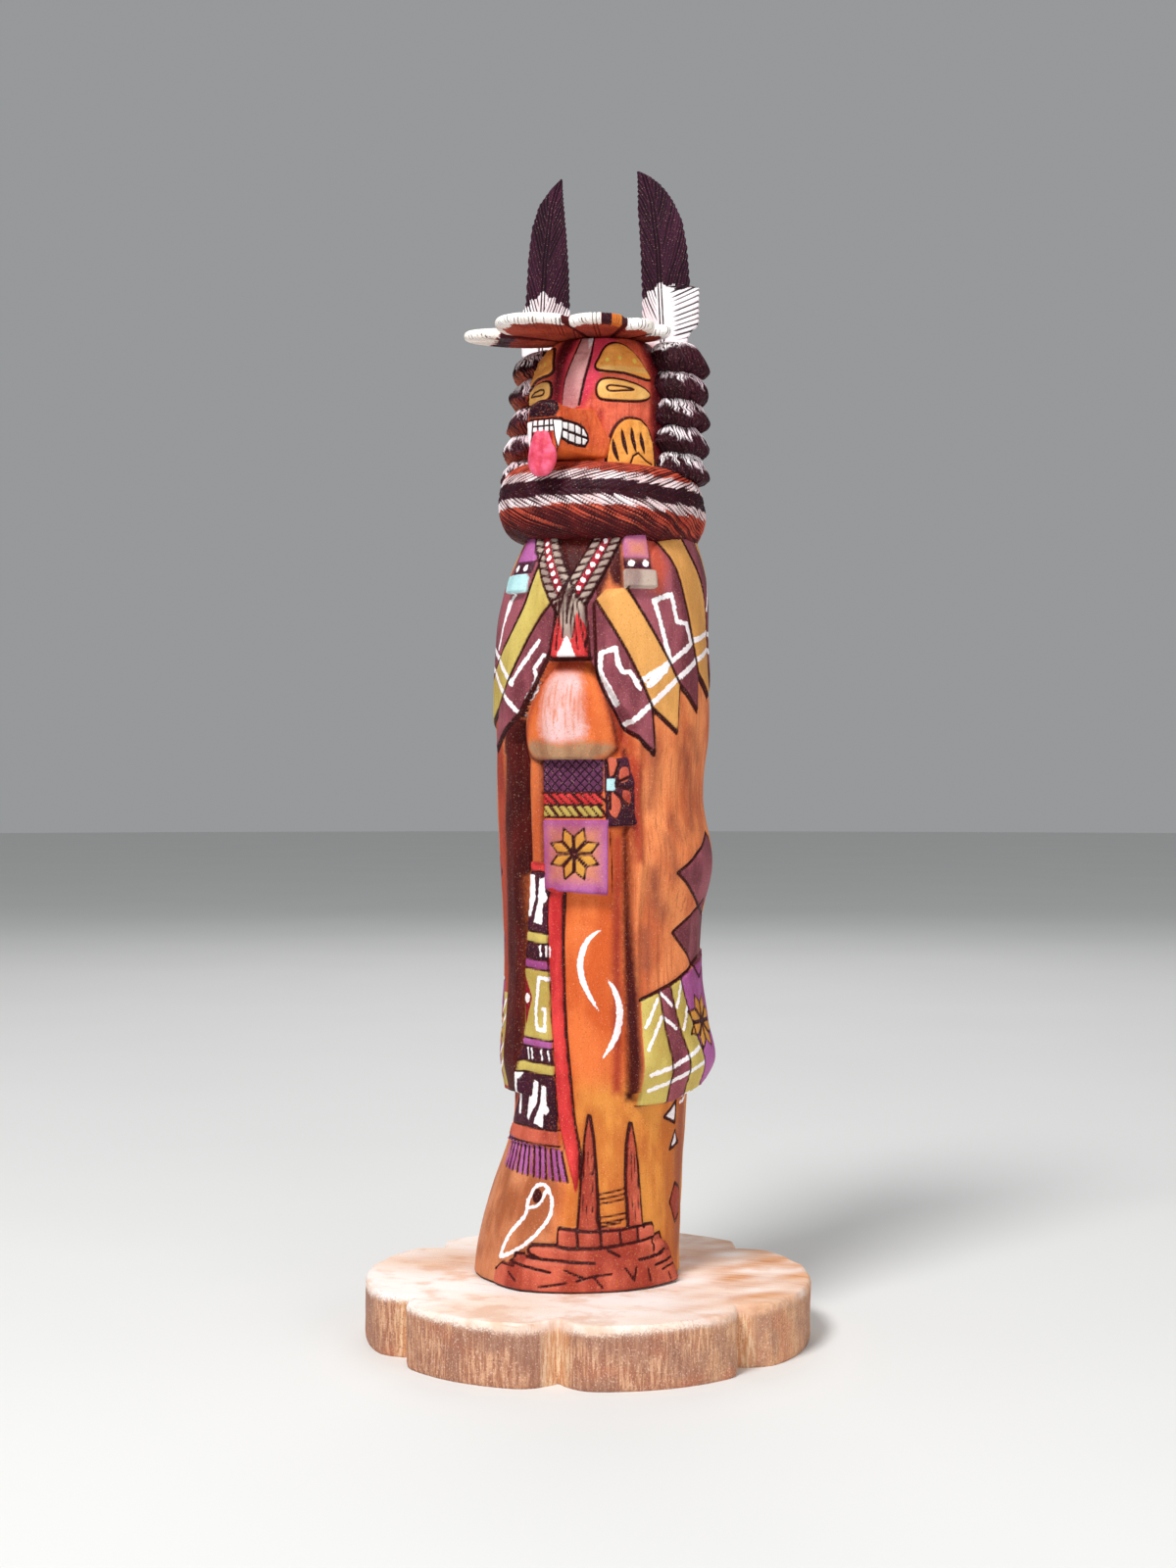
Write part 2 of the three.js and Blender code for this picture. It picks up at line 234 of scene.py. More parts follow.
@dataclass(frozen=True)
class Patch:
    """A filled shape."""

    points: list[Point]
    curved: bool = False


@dataclass(frozen=True)
class Dot:
    """A round or oval spot, its radius in millimetres."""

    at: Point
    radius: float
    squeeze: float = 1.0


Shape = Stroke | Patch | Dot


def box_patch(left: float, right: float, low: float, high: float) -> Patch:
    """A patch with upright sides."""
    return Patch([(left, low), (right, low), (right, high), (left, high)])


class Canvas:
    """A surface laid out flat, with each paint's distance to its edge at every vertex."""

    def __init__(self, across: Array, up: Array, scale: float) -> None:
        """Starts a bare surface.

        Args:
            across: first coordinate of each vertex, as the shapes use it.
            up: second coordinate of each vertex, in millimetres.
            scale: millimetres for one unit of the first coordinate.
        """
        self.x = np.asarray(across, float) * scale
        self.y = np.asarray(up, float)
        self.scale = scale
        self.fields: dict[Paint, Array] = {}
        self.forms: dict[str, Array] = {}

    def lay(self, paint: Paint, *shapes: Shape, off: Array | None = None,
            inside: Array | None = None) -> None:
        """Lays shapes in one paint.

        Args:
            paint: which paint.
            shapes: what is laid.
            off: distances of an area that the paint keeps off.
            inside: distances of an area that the paint stays inside.
        """
        laid = self.distance(*shapes)
        if off is not None:
            laid = np.maximum(laid, -off)
        if inside is not None:
            laid = np.maximum(laid, inside)
        self.fields[paint] = np.minimum(self.field(paint), laid)

    def line(self, paint: Paint, width: float, *lines: list[Point], curved: bool = False,
             closed: bool = False, tapered: bool = False, off: Array | None = None) -> None:
        """Lays brush strokes or burnt lines of one width; the other words are those of Stroke and lay."""
        self.lay(paint, *[Stroke(points, width, curved, closed, tapered) for points in lines], off=off)

    def lines(self, paint: Paint, *groups: tuple, curved: bool = False) -> None:
        """Lays groups of lines, each group a width and then its lines."""
        for width, *lines in groups:
            self.line(paint, width, *lines, curved=curved)

    def fill(self, paint: Paint, *outlines: list[Point], curved: bool = False, off: Array | None = None,
             inside: Array | None = None) -> None:
        """Fills outlines with one paint; the words are those of Patch and lay."""
        self.lay(paint, *[Patch(points, curved) for points in outlines], off=off, inside=inside)

    def block(self, paint: Paint, *sides: tuple[float, float, float, float]) -> None:
        """Fills upright blocks, each given by its left, right, low and high side."""
        self.lay(paint, *[box_patch(*side) for side in sides])

    def outlined(self, paint: Paint, points: list[Point], width: float) -> None:
        """Fills a shape and burns a line round it."""
        self.fill(paint, points)
        self.line(Paint.BURN, width, points, closed=True)

    def carve(self, form: str, *shapes: Shape) -> None:
        """Notes the outline of a form that stands proud of the surface."""
        self.forms[form] = self.distance(*shapes)

    def facts(self) -> dict[str, Array]:
        """What every paint that is laid tells a material."""
        return {paint.value: self.field(paint) for paint in self.fields}

    def field(self, paint: Paint) -> Array:
        """A paint's distance to its edge at every vertex, negative inside."""
        return self.fields.get(paint, np.full(self.x.shape, FIELD_REACH))

    def distance(self, *shapes: Shape) -> Array:
        """The nearest edge of any of the shapes.

        Args:
            shapes: what is measured to.

        Returns:
            Distances in millimetres, negative inside the shapes.
        """
        nearest = np.full(self.x.shape, FIELD_REACH)
        for shape in shapes:
            self._spread(shape, nearest)
        return nearest

    def _spread(self, shape: Shape, nearest: Array) -> None:
        """Brings one shape into an array of distances.

        Args:
            shape: what is brought in.
            nearest: the distances, changed in place.
        """
        if isinstance(shape, Dot):
            cx, cy = shape.at[0] * self.scale, shape.at[1]
            off = np.hypot((self.x - cx) / shape.squeeze, self.y - cy) - shape.radius
            np.minimum(nearest, off, out=nearest)
            return
        closed = isinstance(shape, Patch) or shape.closed
        points = [(px * self.scale, py) for px, py in shape.points]
        if shape.curved:
            points = softened(points, closed)
        if closed:
            points = points + points[:1]
        xs, ys = [p[0] for p in points], [p[1] for p in points]
        near = (self.x > min(xs) - FIELD_REACH) & (self.x < max(xs) + FIELD_REACH)
        near &= (self.y > min(ys) - FIELD_REACH) & (self.y < max(ys) + FIELD_REACH)
        x, y = self.x[near], self.y[near]
        off = np.full(x.shape, FIELD_REACH * 2)
        inside = np.zeros(x.shape, bool)
        lengths = [math.dist(a, b) for a, b in zip(points, points[1:])]
        whole, done = max(sum(lengths), 1e-6), 0.0
        for (ax, ay), (bx, by), length in zip(points, points[1:], lengths):
            dx, dy = bx - ax, by - ay
            share = np.clip(((x - ax) * dx + (y - ay) * dy) / max(length**2, 1e-9), 0, 1)
            gap = np.hypot(x - ax - share * dx, y - ay - share * dy)
            if isinstance(shape, Stroke):
                half = shape.width / 2
                if shape.tapered:
                    half = half * np.sin(math.pi * (done + share * length) / whole) ** 0.7
                gap = gap - half
            elif abs(dy) > 1e-9:
                inside ^= ((ay > y) != (by > y)) & (x < dx * (y - ay) / dy + ax)
            off = np.minimum(off, gap)
            done += length
        if isinstance(shape, Patch):
            off = np.where(inside, -off, off)
        nearest[near] = np.minimum(nearest[near], off)


# ---- Meshes ----
@dataclass
class Sleeve:
    """A closed tube wrapped from a flat grid: columns go round it and rows go from one end to the other."""

    name: str
    columns: Array
    rows: Array
    facts: dict[str, Array] = field(default_factory=dict)

    def places(self) -> tuple[Array, Array]:
        """Lays the flat grid.

        Returns:
            The column and the row value of every vertex, in the grid's own order.
        """
        across, up = len(self.columns) - 1, len(self.rows) - 1
        bm = bmesh.new()
        bmesh.ops.create_grid(bm, x_segments=across, y_segments=up, size=1)
        self._mesh = bpy.data.meshes.new(self.name)
        bm.to_mesh(self._mesh)
        bm.free()
        flat = np.zeros(len(self._mesh.vertices) * 3)
        self._mesh.vertices.foreach_get("co", flat)
        flat = flat.reshape(-1, 3)
        column = np.rint((flat[:, 0] + 1) / 2 * across).astype(int)
        row = np.rint((flat[:, 1] + 1) / 2 * up).astype(int)
        start = np.zeros(up + 1, int)
        start[row[column == 0]] = np.flatnonzero(column == 0)
        self._twin = np.where(column == across, start[row], np.arange(len(row)))
        return self.columns[column], self.rows[row]

    def wrapped(self, x: Array, y: Array, z: Array, finish: Material | None = None,
                axis: Point = DOLL_AXIS) -> Piece:
        """Moves the grid's vertices to their places, closes the tube and makes the piece.

        Args:
            x: places across, in millimetres from the axis.
            y: places in depth, in millimetres from the axis.
            z: heights in millimetres.
            finish: what the piece is dressed in.
            axis: where the piece's upright axis stands.

        Returns:
            The finished object, its faces outward and shaded smooth.
        """
        mesh = self._mesh
        places = (np.stack([x + axis[0], y + axis[1], z], axis=1) * MM)[self._twin]
        mesh.vertices.foreach_set("co", places.ravel())
        for fact, values in self.facts.items():
            layer = mesh.attributes.new(fact, "FLOAT", "POINT")
            layer.data.foreach_set("value", np.asarray(values, np.float32)[self._twin])
        bm = bmesh.new()
        bm.from_mesh(mesh)
        bmesh.ops.remove_doubles(bm, verts=bm.verts, dist=1e-6)
        ends = [edge for edge in bm.edges if edge.is_boundary]
        if ends:
            made = bmesh.ops.holes_fill(bm, edges=ends, sides=0)
            bmesh.ops.triangulate(bm, faces=made["faces"])
        bmesh.ops.recalc_face_normals(bm, faces=bm.faces)
        bm.to_mesh(mesh)
        bm.free()
        mesh.polygons.foreach_set("use_smooth", np.ones(len(mesh.polygons), bool))
        mesh.update()
        if finish:
            mesh.materials.append(finish)
        piece = bpy.data.objects.new(self.name, mesh)
        bpy.context.scene.collection.objects.link(piece)
        return piece


def polar(angle: Array, radius: Array) -> tuple[Array, Array]:
    """Places at an angle round the doll, 0 being its front, and a distance from its axis."""
    return radius * np.sin(angle * ARC), -radius * np.cos(angle * ARC)


def spaced(*stretches: tuple[float, float, int]) -> Array:
    """Values from one named level to the next, each stretch in equal steps."""
    parts = [np.linspace(low, high, count, endpoint=False) for low, high, count in stretches]
    return np.concatenate([*parts, [stretches[-1][1]]])


def turned_about(x: Array, y: Array, angle: float) -> tuple[Array, Array]:
    """Turns places made facing the front to an angle round the doll."""
    cos, sin = math.cos(angle * ARC), math.sin(angle * ARC)
    return x * cos - y * sin, x * sin + y * cos


def joined(name: str, pieces: list[Piece]) -> Piece:
    """Makes one piece of several, keeping their attributes.

    Args:
        name: what the whole is called.
        pieces: what is joined.

    Returns:
        The whole.
    """
    whole = pieces[0]
    with bpy.context.temp_override(active_object=whole, object=whole, selected_editable_objects=pieces):
        bpy.ops.object.join()
    whole.name = whole.data.name = name
    return whole


# ---- Materials ----
def linear(colour: Colour) -> tuple[float, float, float, float]:
    """A colour as the shader takes it.

    Args:
        colour: red, green and blue, 0 to 255.

    Returns:
        The same in linear light, with its cover.
    """
    parts = [c / 255 for c in colour]
    red, green, blue = (c / 12.92 if c <= 0.04045 else ((c + 0.055) / 1.055) ** 2.4 for c in parts)
    return red, green, blue, 1.0


class Bench:
    """Lays and joins the nodes of one material."""

    def __init__(self, name: str) -> None:
        """Starts a material with a bare shader.

        Args:
            name: what the material is called.
        """
        self.material = bpy.data.materials.new(name)
        self.material.use_nodes = True
        self.tree = self.material.node_tree
        self.shader = self.tree.nodes["Principled BSDF"]
        self.place = self.tree.nodes.new("ShaderNodeTexCoord").outputs["Object"]

    def _feed(self, socket: Socket, value: object) -> None:
        """Joins a socket to another, or sets it.

        Args:
            socket: which one takes the value.
            value: another socket, or a plain value.
        """
        if isinstance(value, Socket):
            self.tree.links.new(value, socket)
        else:
            socket.default_value = value

    def fact(self, name: str) -> Socket:
        """Reads a vertex attribute of the piece.

        Args:
            name: which one.

        Returns:
            Its value.
        """
        node = self.tree.nodes.new("ShaderNodeAttribute")
        node.attribute_name = name
        return node.outputs["Fac"]

    def noise(self, size: float, stretch: Triple = (1, 1, 1), detail: float = 3,
              shift: float = 0) -> Socket:
        """Lays clouds.

        Args:
            size: about how wide they are, in millimetres.
            stretch: how far they are drawn out along each axis.
            detail: how many finer layers they have.
            shift: where the pattern is cut from.

        Returns:
            The clouds, about 0 to 1.
        """
        mapping = self.tree.nodes.new("ShaderNodeMapping")
        scale = 1 / (size * MM)
        mapping.inputs["Scale"].default_value = tuple(scale / s for s in stretch)
        mapping.inputs["Location"].default_value = (shift, shift * 0.7, shift * 0.3)
        self.tree.links.new(self.place, mapping.inputs["Vector"])
        node = self.tree.nodes.new("ShaderNodeTexNoise")
        node.inputs["Scale"].default_value = 1
        node.inputs["Detail"].default_value = detail
        node.inputs["Roughness"].default_value = 0.55
        self.tree.links.new(mapping.outputs["Vector"], node.inputs["Vector"])
        return node.outputs["Fac"]

    def math(self, operation: str, first: object, second: object = 0.0) -> Socket:
        """Does one sum.

        Args:
            operation: which kind.
            first: the first value.
            second: the second value.

        Returns:
            The result.
        """
        node = self.tree.nodes.new("ShaderNodeMath")
        node.operation = operation
        self._feed(node.inputs[0], first)
        self._feed(node.inputs[1], second)
        return node.outputs[0]

    def span(self, value: object, low: float, high: float, to_low: float = 0, to_high: float = 1) -> Socket:
        """Carries a value from one span to another, smoothly and held at its ends.

        Args:
            value: what is carried.
            low: start of the first span.
            high: its end.
            to_low: start of the second span.
            to_high: its end.

        Returns:
            The value in the second span.
        """
        node = self.tree.nodes.new("ShaderNodeMapRange")
        node.interpolation_type = "SMOOTHSTEP"
        self._feed(node.inputs["Value"], value)
        for socket, number in zip(("From Min", "From Max", "To Min", "To Max"), (low, high, to_low, to_high)):
            node.inputs[socket].default_value = number
        return node.outputs["Result"]

    def cut_lines(self, value: object, pitch: float, width: float) -> Socket:
        """Evenly spaced lines: 1 on a line and 0 between lines.

        Args:
            value: place across the lines, in millimetres.
            pitch: from one line to the next.
            width: half width of a line, as a share of the pitch.

        Returns:
            Where the lines are.
        """
        phase = self.math("FRACT", self.math("DIVIDE", value, pitch))
        off = self.math("ABSOLUTE", self.math("SUBTRACT", phase, 0.5))
        return self.span(off, 0, width, 1, 0)

    def mix(self, share: object, under: object, over: object) -> Socket:
        """Lays one colour over another.

        Args:
            share: how much of the upper one shows.
            under: the lower colour.
            over: the upper one.

        Returns:
            The mixed colour.
        """
        node = self.tree.nodes.new("ShaderNodeMix")
        node.data_type = "RGBA"
        self._feed(node.inputs[0], share)
        self._feed(node.inputs[6], linear(under) if isinstance(under, tuple) else under)
        self._feed(node.inputs[7], linear(over) if isinstance(over, tuple) else over)
        return node.outputs[2]

    def finish(self, colour: object, roughness: object, height: object, depth: float = 0.35,
               strength: float = 0.6) -> Material:
        """Joins colour, roughness and relief to the shader.

        Args:
            colour: the surface's colour.
            roughness: its roughness.
            height: its fine relief, 0 to 1.
            depth: how deep that relief is, in millimetres.
            strength: how strongly it shows.

        Returns:
            The material.
        """
        bump = self.tree.nodes.new("ShaderNodeBump")
        bump.inputs["Distance"].default_value = depth * MM
        bump.inputs["Strength"].default_value = strength
        self._feed(bump.inputs["Height"], height)
        self._feed(self.shader.inputs["Base Color"], colour)
        self._feed(self.shader.inputs["Roughness"], roughness)
        self.tree.links.new(bump.outputs["Normal"], self.shader.inputs["Normal"])
        return self.material


@dataclass(frozen=True)
class Coat:
    """One coat of paint, stain, painted shade or painted highlight as it lies on the wood."""

    paint: Paint
    colour: Colour
    mottle: Colour
    soft: float = 0.14
    ragged: float = 0.3
    worn: float = 0.25
    raised: float = 0.15


@dataclass(frozen=True)
class PaintedWood:
    """Stained root wood with its coats of paint, its burnt lines last."""

    name: str
    light: Colour
    dark: Colour
    ground: Colour
    coats: tuple[Coat, ...]
    groove: bool = False
    groove_colour: Colour = (52, 8, 16)
    woven: bool = False
    gloss: float = 0.5

    def made(self) -> Material:
        """Lays the wood, each coat over it, and the fine relief of them all.

        Returns:
            The material.
        """
        bench = Bench(self.name)
        grain = bench.noise(0.55, (1, 1, 14), detail=4)
        cloud = bench.noise(9, (1, 1, 2.4), detail=3, shift=3.1)
        speck = bench.noise(0.5, detail=2, shift=7.7)
        edge = bench.noise(0.9, detail=2, shift=5.3)
        colour = bench.mix(bench.span(cloud, 0.36, 0.64), self.dark, self.light)
        colour = bench.mix(bench.span(grain, 0.5, 0.72, 0, 0.5), colour, self.dark)
        colour = bench.mix(bench.span(speck, 0.6, 0.74, 0, 0.45), colour, self.ground)
        streak = bench.noise(0.9, (1, 1, 26), detail=3, shift=11)
        colour = bench.mix(bench.span(streak, 0.54, 0.68, 0, 0.42), colour, self.ground)
        height = bench.math("MULTIPLY", grain, 0.45)
        for coat in self.coats:
            nudge = bench.math("MULTIPLY_ADD", edge, coat.ragged)
            nudge.node.inputs[2].default_value = -coat.ragged / 2
            far = bench.math("ADD", bench.fact(coat.paint.value), nudge)
            laid = bench.span(far, -coat.soft, coat.soft, 1, 0)
            worn = bench.span(speck, 0.56, 0.72, 1, 1 - coat.worn)
            share = bench.math("MULTIPLY", laid, worn)
            tone = bench.mix(bench.span(cloud, 0.38, 0.62), coat.colour, coat.mottle)
            colour = bench.mix(share, colour, tone)
            if coat.raised:
                height = bench.math("ADD", height, bench.math("MULTIPLY", laid, coat.raised))
        if self.woven:
            across, up = bench.fact("across"), bench.fact("up")
            lines = bench.math("MAXIMUM", bench.cut_lines(bench.math("ADD", across, up), 2.3, 0.2),
                               bench.cut_lines(bench.math("SUBTRACT", across, up), 2.3, 0.2))
            cloth = bench.mix(lines, (96, 46, 78), (24, 0, 16))
            colour = bench.mix(bench.span(bench.fact("weave"), -0.1, 0.1, 1, 0), colour, cloth)
            cuts = bench.math("MULTIPLY", lines, bench.span(bench.fact("weave"), -0.1, 0.1, 0.8, 0))
            height = bench.math("SUBTRACT", height, cuts)
        fleck = bench.noise(0.32, detail=1, shift=15)
        colour = bench.mix(bench.span(fleck, 0.64, 0.76, 0, 0.3), colour, (255, 214, 180))
        colour = bench.mix(bench.span(fleck, 0.38, 0.28, 0, 0.35), colour, (96, 24, 20))
        if self.groove:
            cut = bench.span(bench.fact("furrow"), 0.22, 0.6, 0, 0.95)
            colour = bench.mix(cut, colour, self.groove_colour)
        height = bench.math("ADD", height, bench.math("MULTIPLY", speck, 0.35))
        roughness = bench.span(speck, 0.3, 0.7, self.gloss - 0.08, self.gloss + 0.16)
        bench.shader.inputs["Specular IOR Level"].default_value = 0.14
        return bench.finish(colour, roughness, height)


# ---- Base ----
@dataclass
class BaseSlab:
    """The scalloped board that the doll stands on."""

    radius: float = 57.5
    thickness: float = 15.5
    round_over: float = 1.5
    grooves: tuple[float, ...] = (-111, -41, 10, 64, 145, 198)
    depth: float = 5.5
    half_angle: float = 5
    shoulder: float = 1.8

    def _nearest(self, angle: Array) -> Array:
        """Degrees to the nearest groove."""
        return np.min([np.abs(wrap(angle - groove)) for groove in self.grooves], axis=0)

    def edge(self, angle: Array) -> Array:
        """The board's edge.

        Args:
            angle: directions in degrees.

        Returns:
            How far the edge is from the board's middle.
        """
        nearest = self._nearest(angle)
        notch = 0.8 * bell(nearest, 0, self.half_angle) + 0.24 * bell(nearest, 0, 1.3)
        return self.radius - self.shoulder * np.exp(-nearest / 16) - self.depth * notch

    def build(self) -> Piece:
        """Builds the board: its flat underside, sawn edge, rounded arris and planed top.

        Returns:
            The board, dressed.
        """
        under = spaced((0, 1, 6))
        rim = spaced((1, 2, 34))[1:]
        over = spaced((2, 3, 10))[1:]
        top = spaced((3, 4, 44))[1:]
        sleeve = Sleeve("base_slab", spaced((-180, 180, 720)), np.concatenate([under, rim, over, top]))
        angle, part = sleeve.places()
        edge = self.edge(angle)
        turn = np.clip(part - 2, 0, 1) * math.pi / 2
        inward = np.clip(part - 3, 0, 1)
        below = np.clip(part, 0, 1)
        wall = np.clip(part - 1, 0, 1)
        worn = self.round_over * (1 + 0.25 * ripple(angle * ARC * edge, 0 * angle, 4, 9))
        radius = np.where(part < 1, below * (edge - 0.5), edge)
        radius = np.where(part >= 2, edge - worn * (1 - np.cos(turn)), radius)
        radius = np.where(part > 3, (edge - worn) * (1 - inward), radius)
        radius = np.where((part >= 1) & (part < 1.1), edge - 0.5 * (1 - (part - 1) * 10), radius)
        height = np.where(part <= 1, 0, wall * (self.thickness - worn))
        height = np.where(part > 2, self.thickness - worn * (1 - np.sin(turn)), height)
        run = angle * ARC * 57
        saw = ripple(run, height * 0.12, 8, 1.1) * 0.09 + ripple(run, height * 0.4, 9, 7) * 0.16
        radius = radius - (0.25 + saw) * ease(part, 0.99, 1.15) * (1 - ease(part, 2.0, 2.9))
        x, y = polar(angle, radius)
        x, y = x - self._middle()[0], y - self._middle()[1]
        planed = ripple(x, y * 0.35, 12, 26) * 0.12 - 0.14
        height = np.where(part > 2.4, height + planed * ease(part, 2.4, 3.2), height)
        sleeve.facts = {
            "side": ease(height, self.thickness - 4, self.thickness - 0.4) + 0.6 * (part > 3),
            "notch": bell(self._nearest(angle), 0, 4.6),
            # painted shadow where the doll's shadow falls on the top, to its right and by its foot on the
            # left; on the edge it makes the right side warmer
            "painted_shadow_and_warm_side": np.clip(ease(x + 0.3 * y, 8, 44) * (0.6 + 0.4 * ripple(x, y, 13, 12))
                            + 0.7 * np.exp(-(((x + 36) / 18) ** 2) - ((y - 3) / 15) ** 2), 0, 1),
        }
        return sleeve.wrapped(x, y, height, self.finish(), (0, 0))

    def _middle(self) -> Point:
        """Finds the middle of the board's outline, which stands at the origin.

        Returns:
            Its place.
        """
        angle = np.linspace(0, 354 + 4.5, 80)
        x, y = polar(angle, self.edge(angle))
        return (x.min() + x.max()) / 2, (y.min() + y.max()) / 2

    def finish(self) -> Material:
        """Bare pale wood: cream on top and brown on the sawn edge, partly weathering and partly painted light
        from above; fresh in the cut grooves; a painted shadow of the doll on the top.

        Returns:
            The material.
        """
        bench = Bench("pale_board")
        grain = bench.noise(1.3, (9, 1, 1), detail=4)
        rings = bench.noise(16, (3, 1, 1), detail=2, shift=2)
        upright = bench.noise(0.6, (1, 1, 9), detail=5, shift=4)
        stain = bench.noise(13, (1, 1, 1.5), detail=4, shift=9)
        fine = bench.noise(0.45, detail=3, shift=6)
        # the cream top and the browner edge below are partly painted light falling from above
        top = bench.mix(bench.span(rings, 0.35, 0.68), (255, 246, 240), (250, 228, 210))
        top = bench.mix(bench.span(stain, 0.48, 0.66, 0, 0.7), top, (232, 184, 152))
        top = bench.mix(bench.span(grain, 0.58, 0.72, 0, 0.35), top, (206, 150, 116))
        top = bench.mix(bench.span(fine, 0.64, 0.74, 0, 0.4), top, (196, 140, 112))
        # painted shadow of the doll laid on the top
        top = bench.mix(
            bench.fact("painted_shadow_and_warm_side"), top, bench.mix(bench.span(grain, 0.4, 0.6), (208, 140, 94), (228, 172, 126)))
        side = bench.mix(bench.span(upright, 0.4, 0.64), (170, 112, 84), (220, 168, 132))
        side = bench.mix(bench.span(bench.fact("painted_shadow_and_warm_side"), 0, 1, 0, 0.6), side, (244, 190, 142))
        side = bench.mix(bench.span(stain, 0.4, 0.6, 0, 0.7), side, (146, 98, 80))
        side = bench.mix(bench.span(rings, 0.54, 0.66, 0, 0.5), side, (196, 114, 78))
        cut = bench.mix(bench.span(upright, 0.4, 0.66), (214, 150, 102), (248, 216, 176))
        side = bench.mix(bench.span(bench.fact("notch"), 0.3, 0.85, 0, 0.85), side, cut)
        side = bench.mix(bench.span(fine, 0.58, 0.68, 0, 0.55), side, (96, 60, 50))
        side = bench.mix(bench.span(fine, 0.42, 0.34, 0, 0.5), side, (240, 212, 194))
        drift = bench.math("MULTIPLY", bench.math("SUBTRACT", stain, 0.5), 2.0)
        rough = bench.math("MULTIPLY", bench.math("SUBTRACT", fine, 0.5), 1.6)
        ragged = bench.math("ADD", bench.fact("side"), bench.math("ADD", drift, rough))
        colour = bench.mix(bench.span(ragged, 0.25, 0.95), side, top)
        height = bench.math("ADD", bench.math("MULTIPLY", upright, 0.7), bench.math("MULTIPLY", fine, 0.5))
        return bench.finish(colour, bench.span(fine, 0.3, 0.7, 0.62, 0.86), height, 0.5, 0.55)


# ---- Body ----
def shifted(points: list[Point], by: float) -> list[Point]:
    """The same line further round the doll."""
    return [(a + by, z) for a, z in points]


def band(edge: Callable[[float], Point], low: float, high: float, slope: float = 0) -> Patch:
    """A band across a hanging strip.

    Args:
        edge: the strip's left and right angles at a height.
        low: height of the band's lower edge.
        high: height of its upper edge.
        slope: how much lower its right end hangs.

    Returns:
        The band's patch.
    """
    (a, b), (c, d) = edge(low), edge(high)
    return Patch([(a, low), (b, low - slope), (d, high - slope), (c, high)])


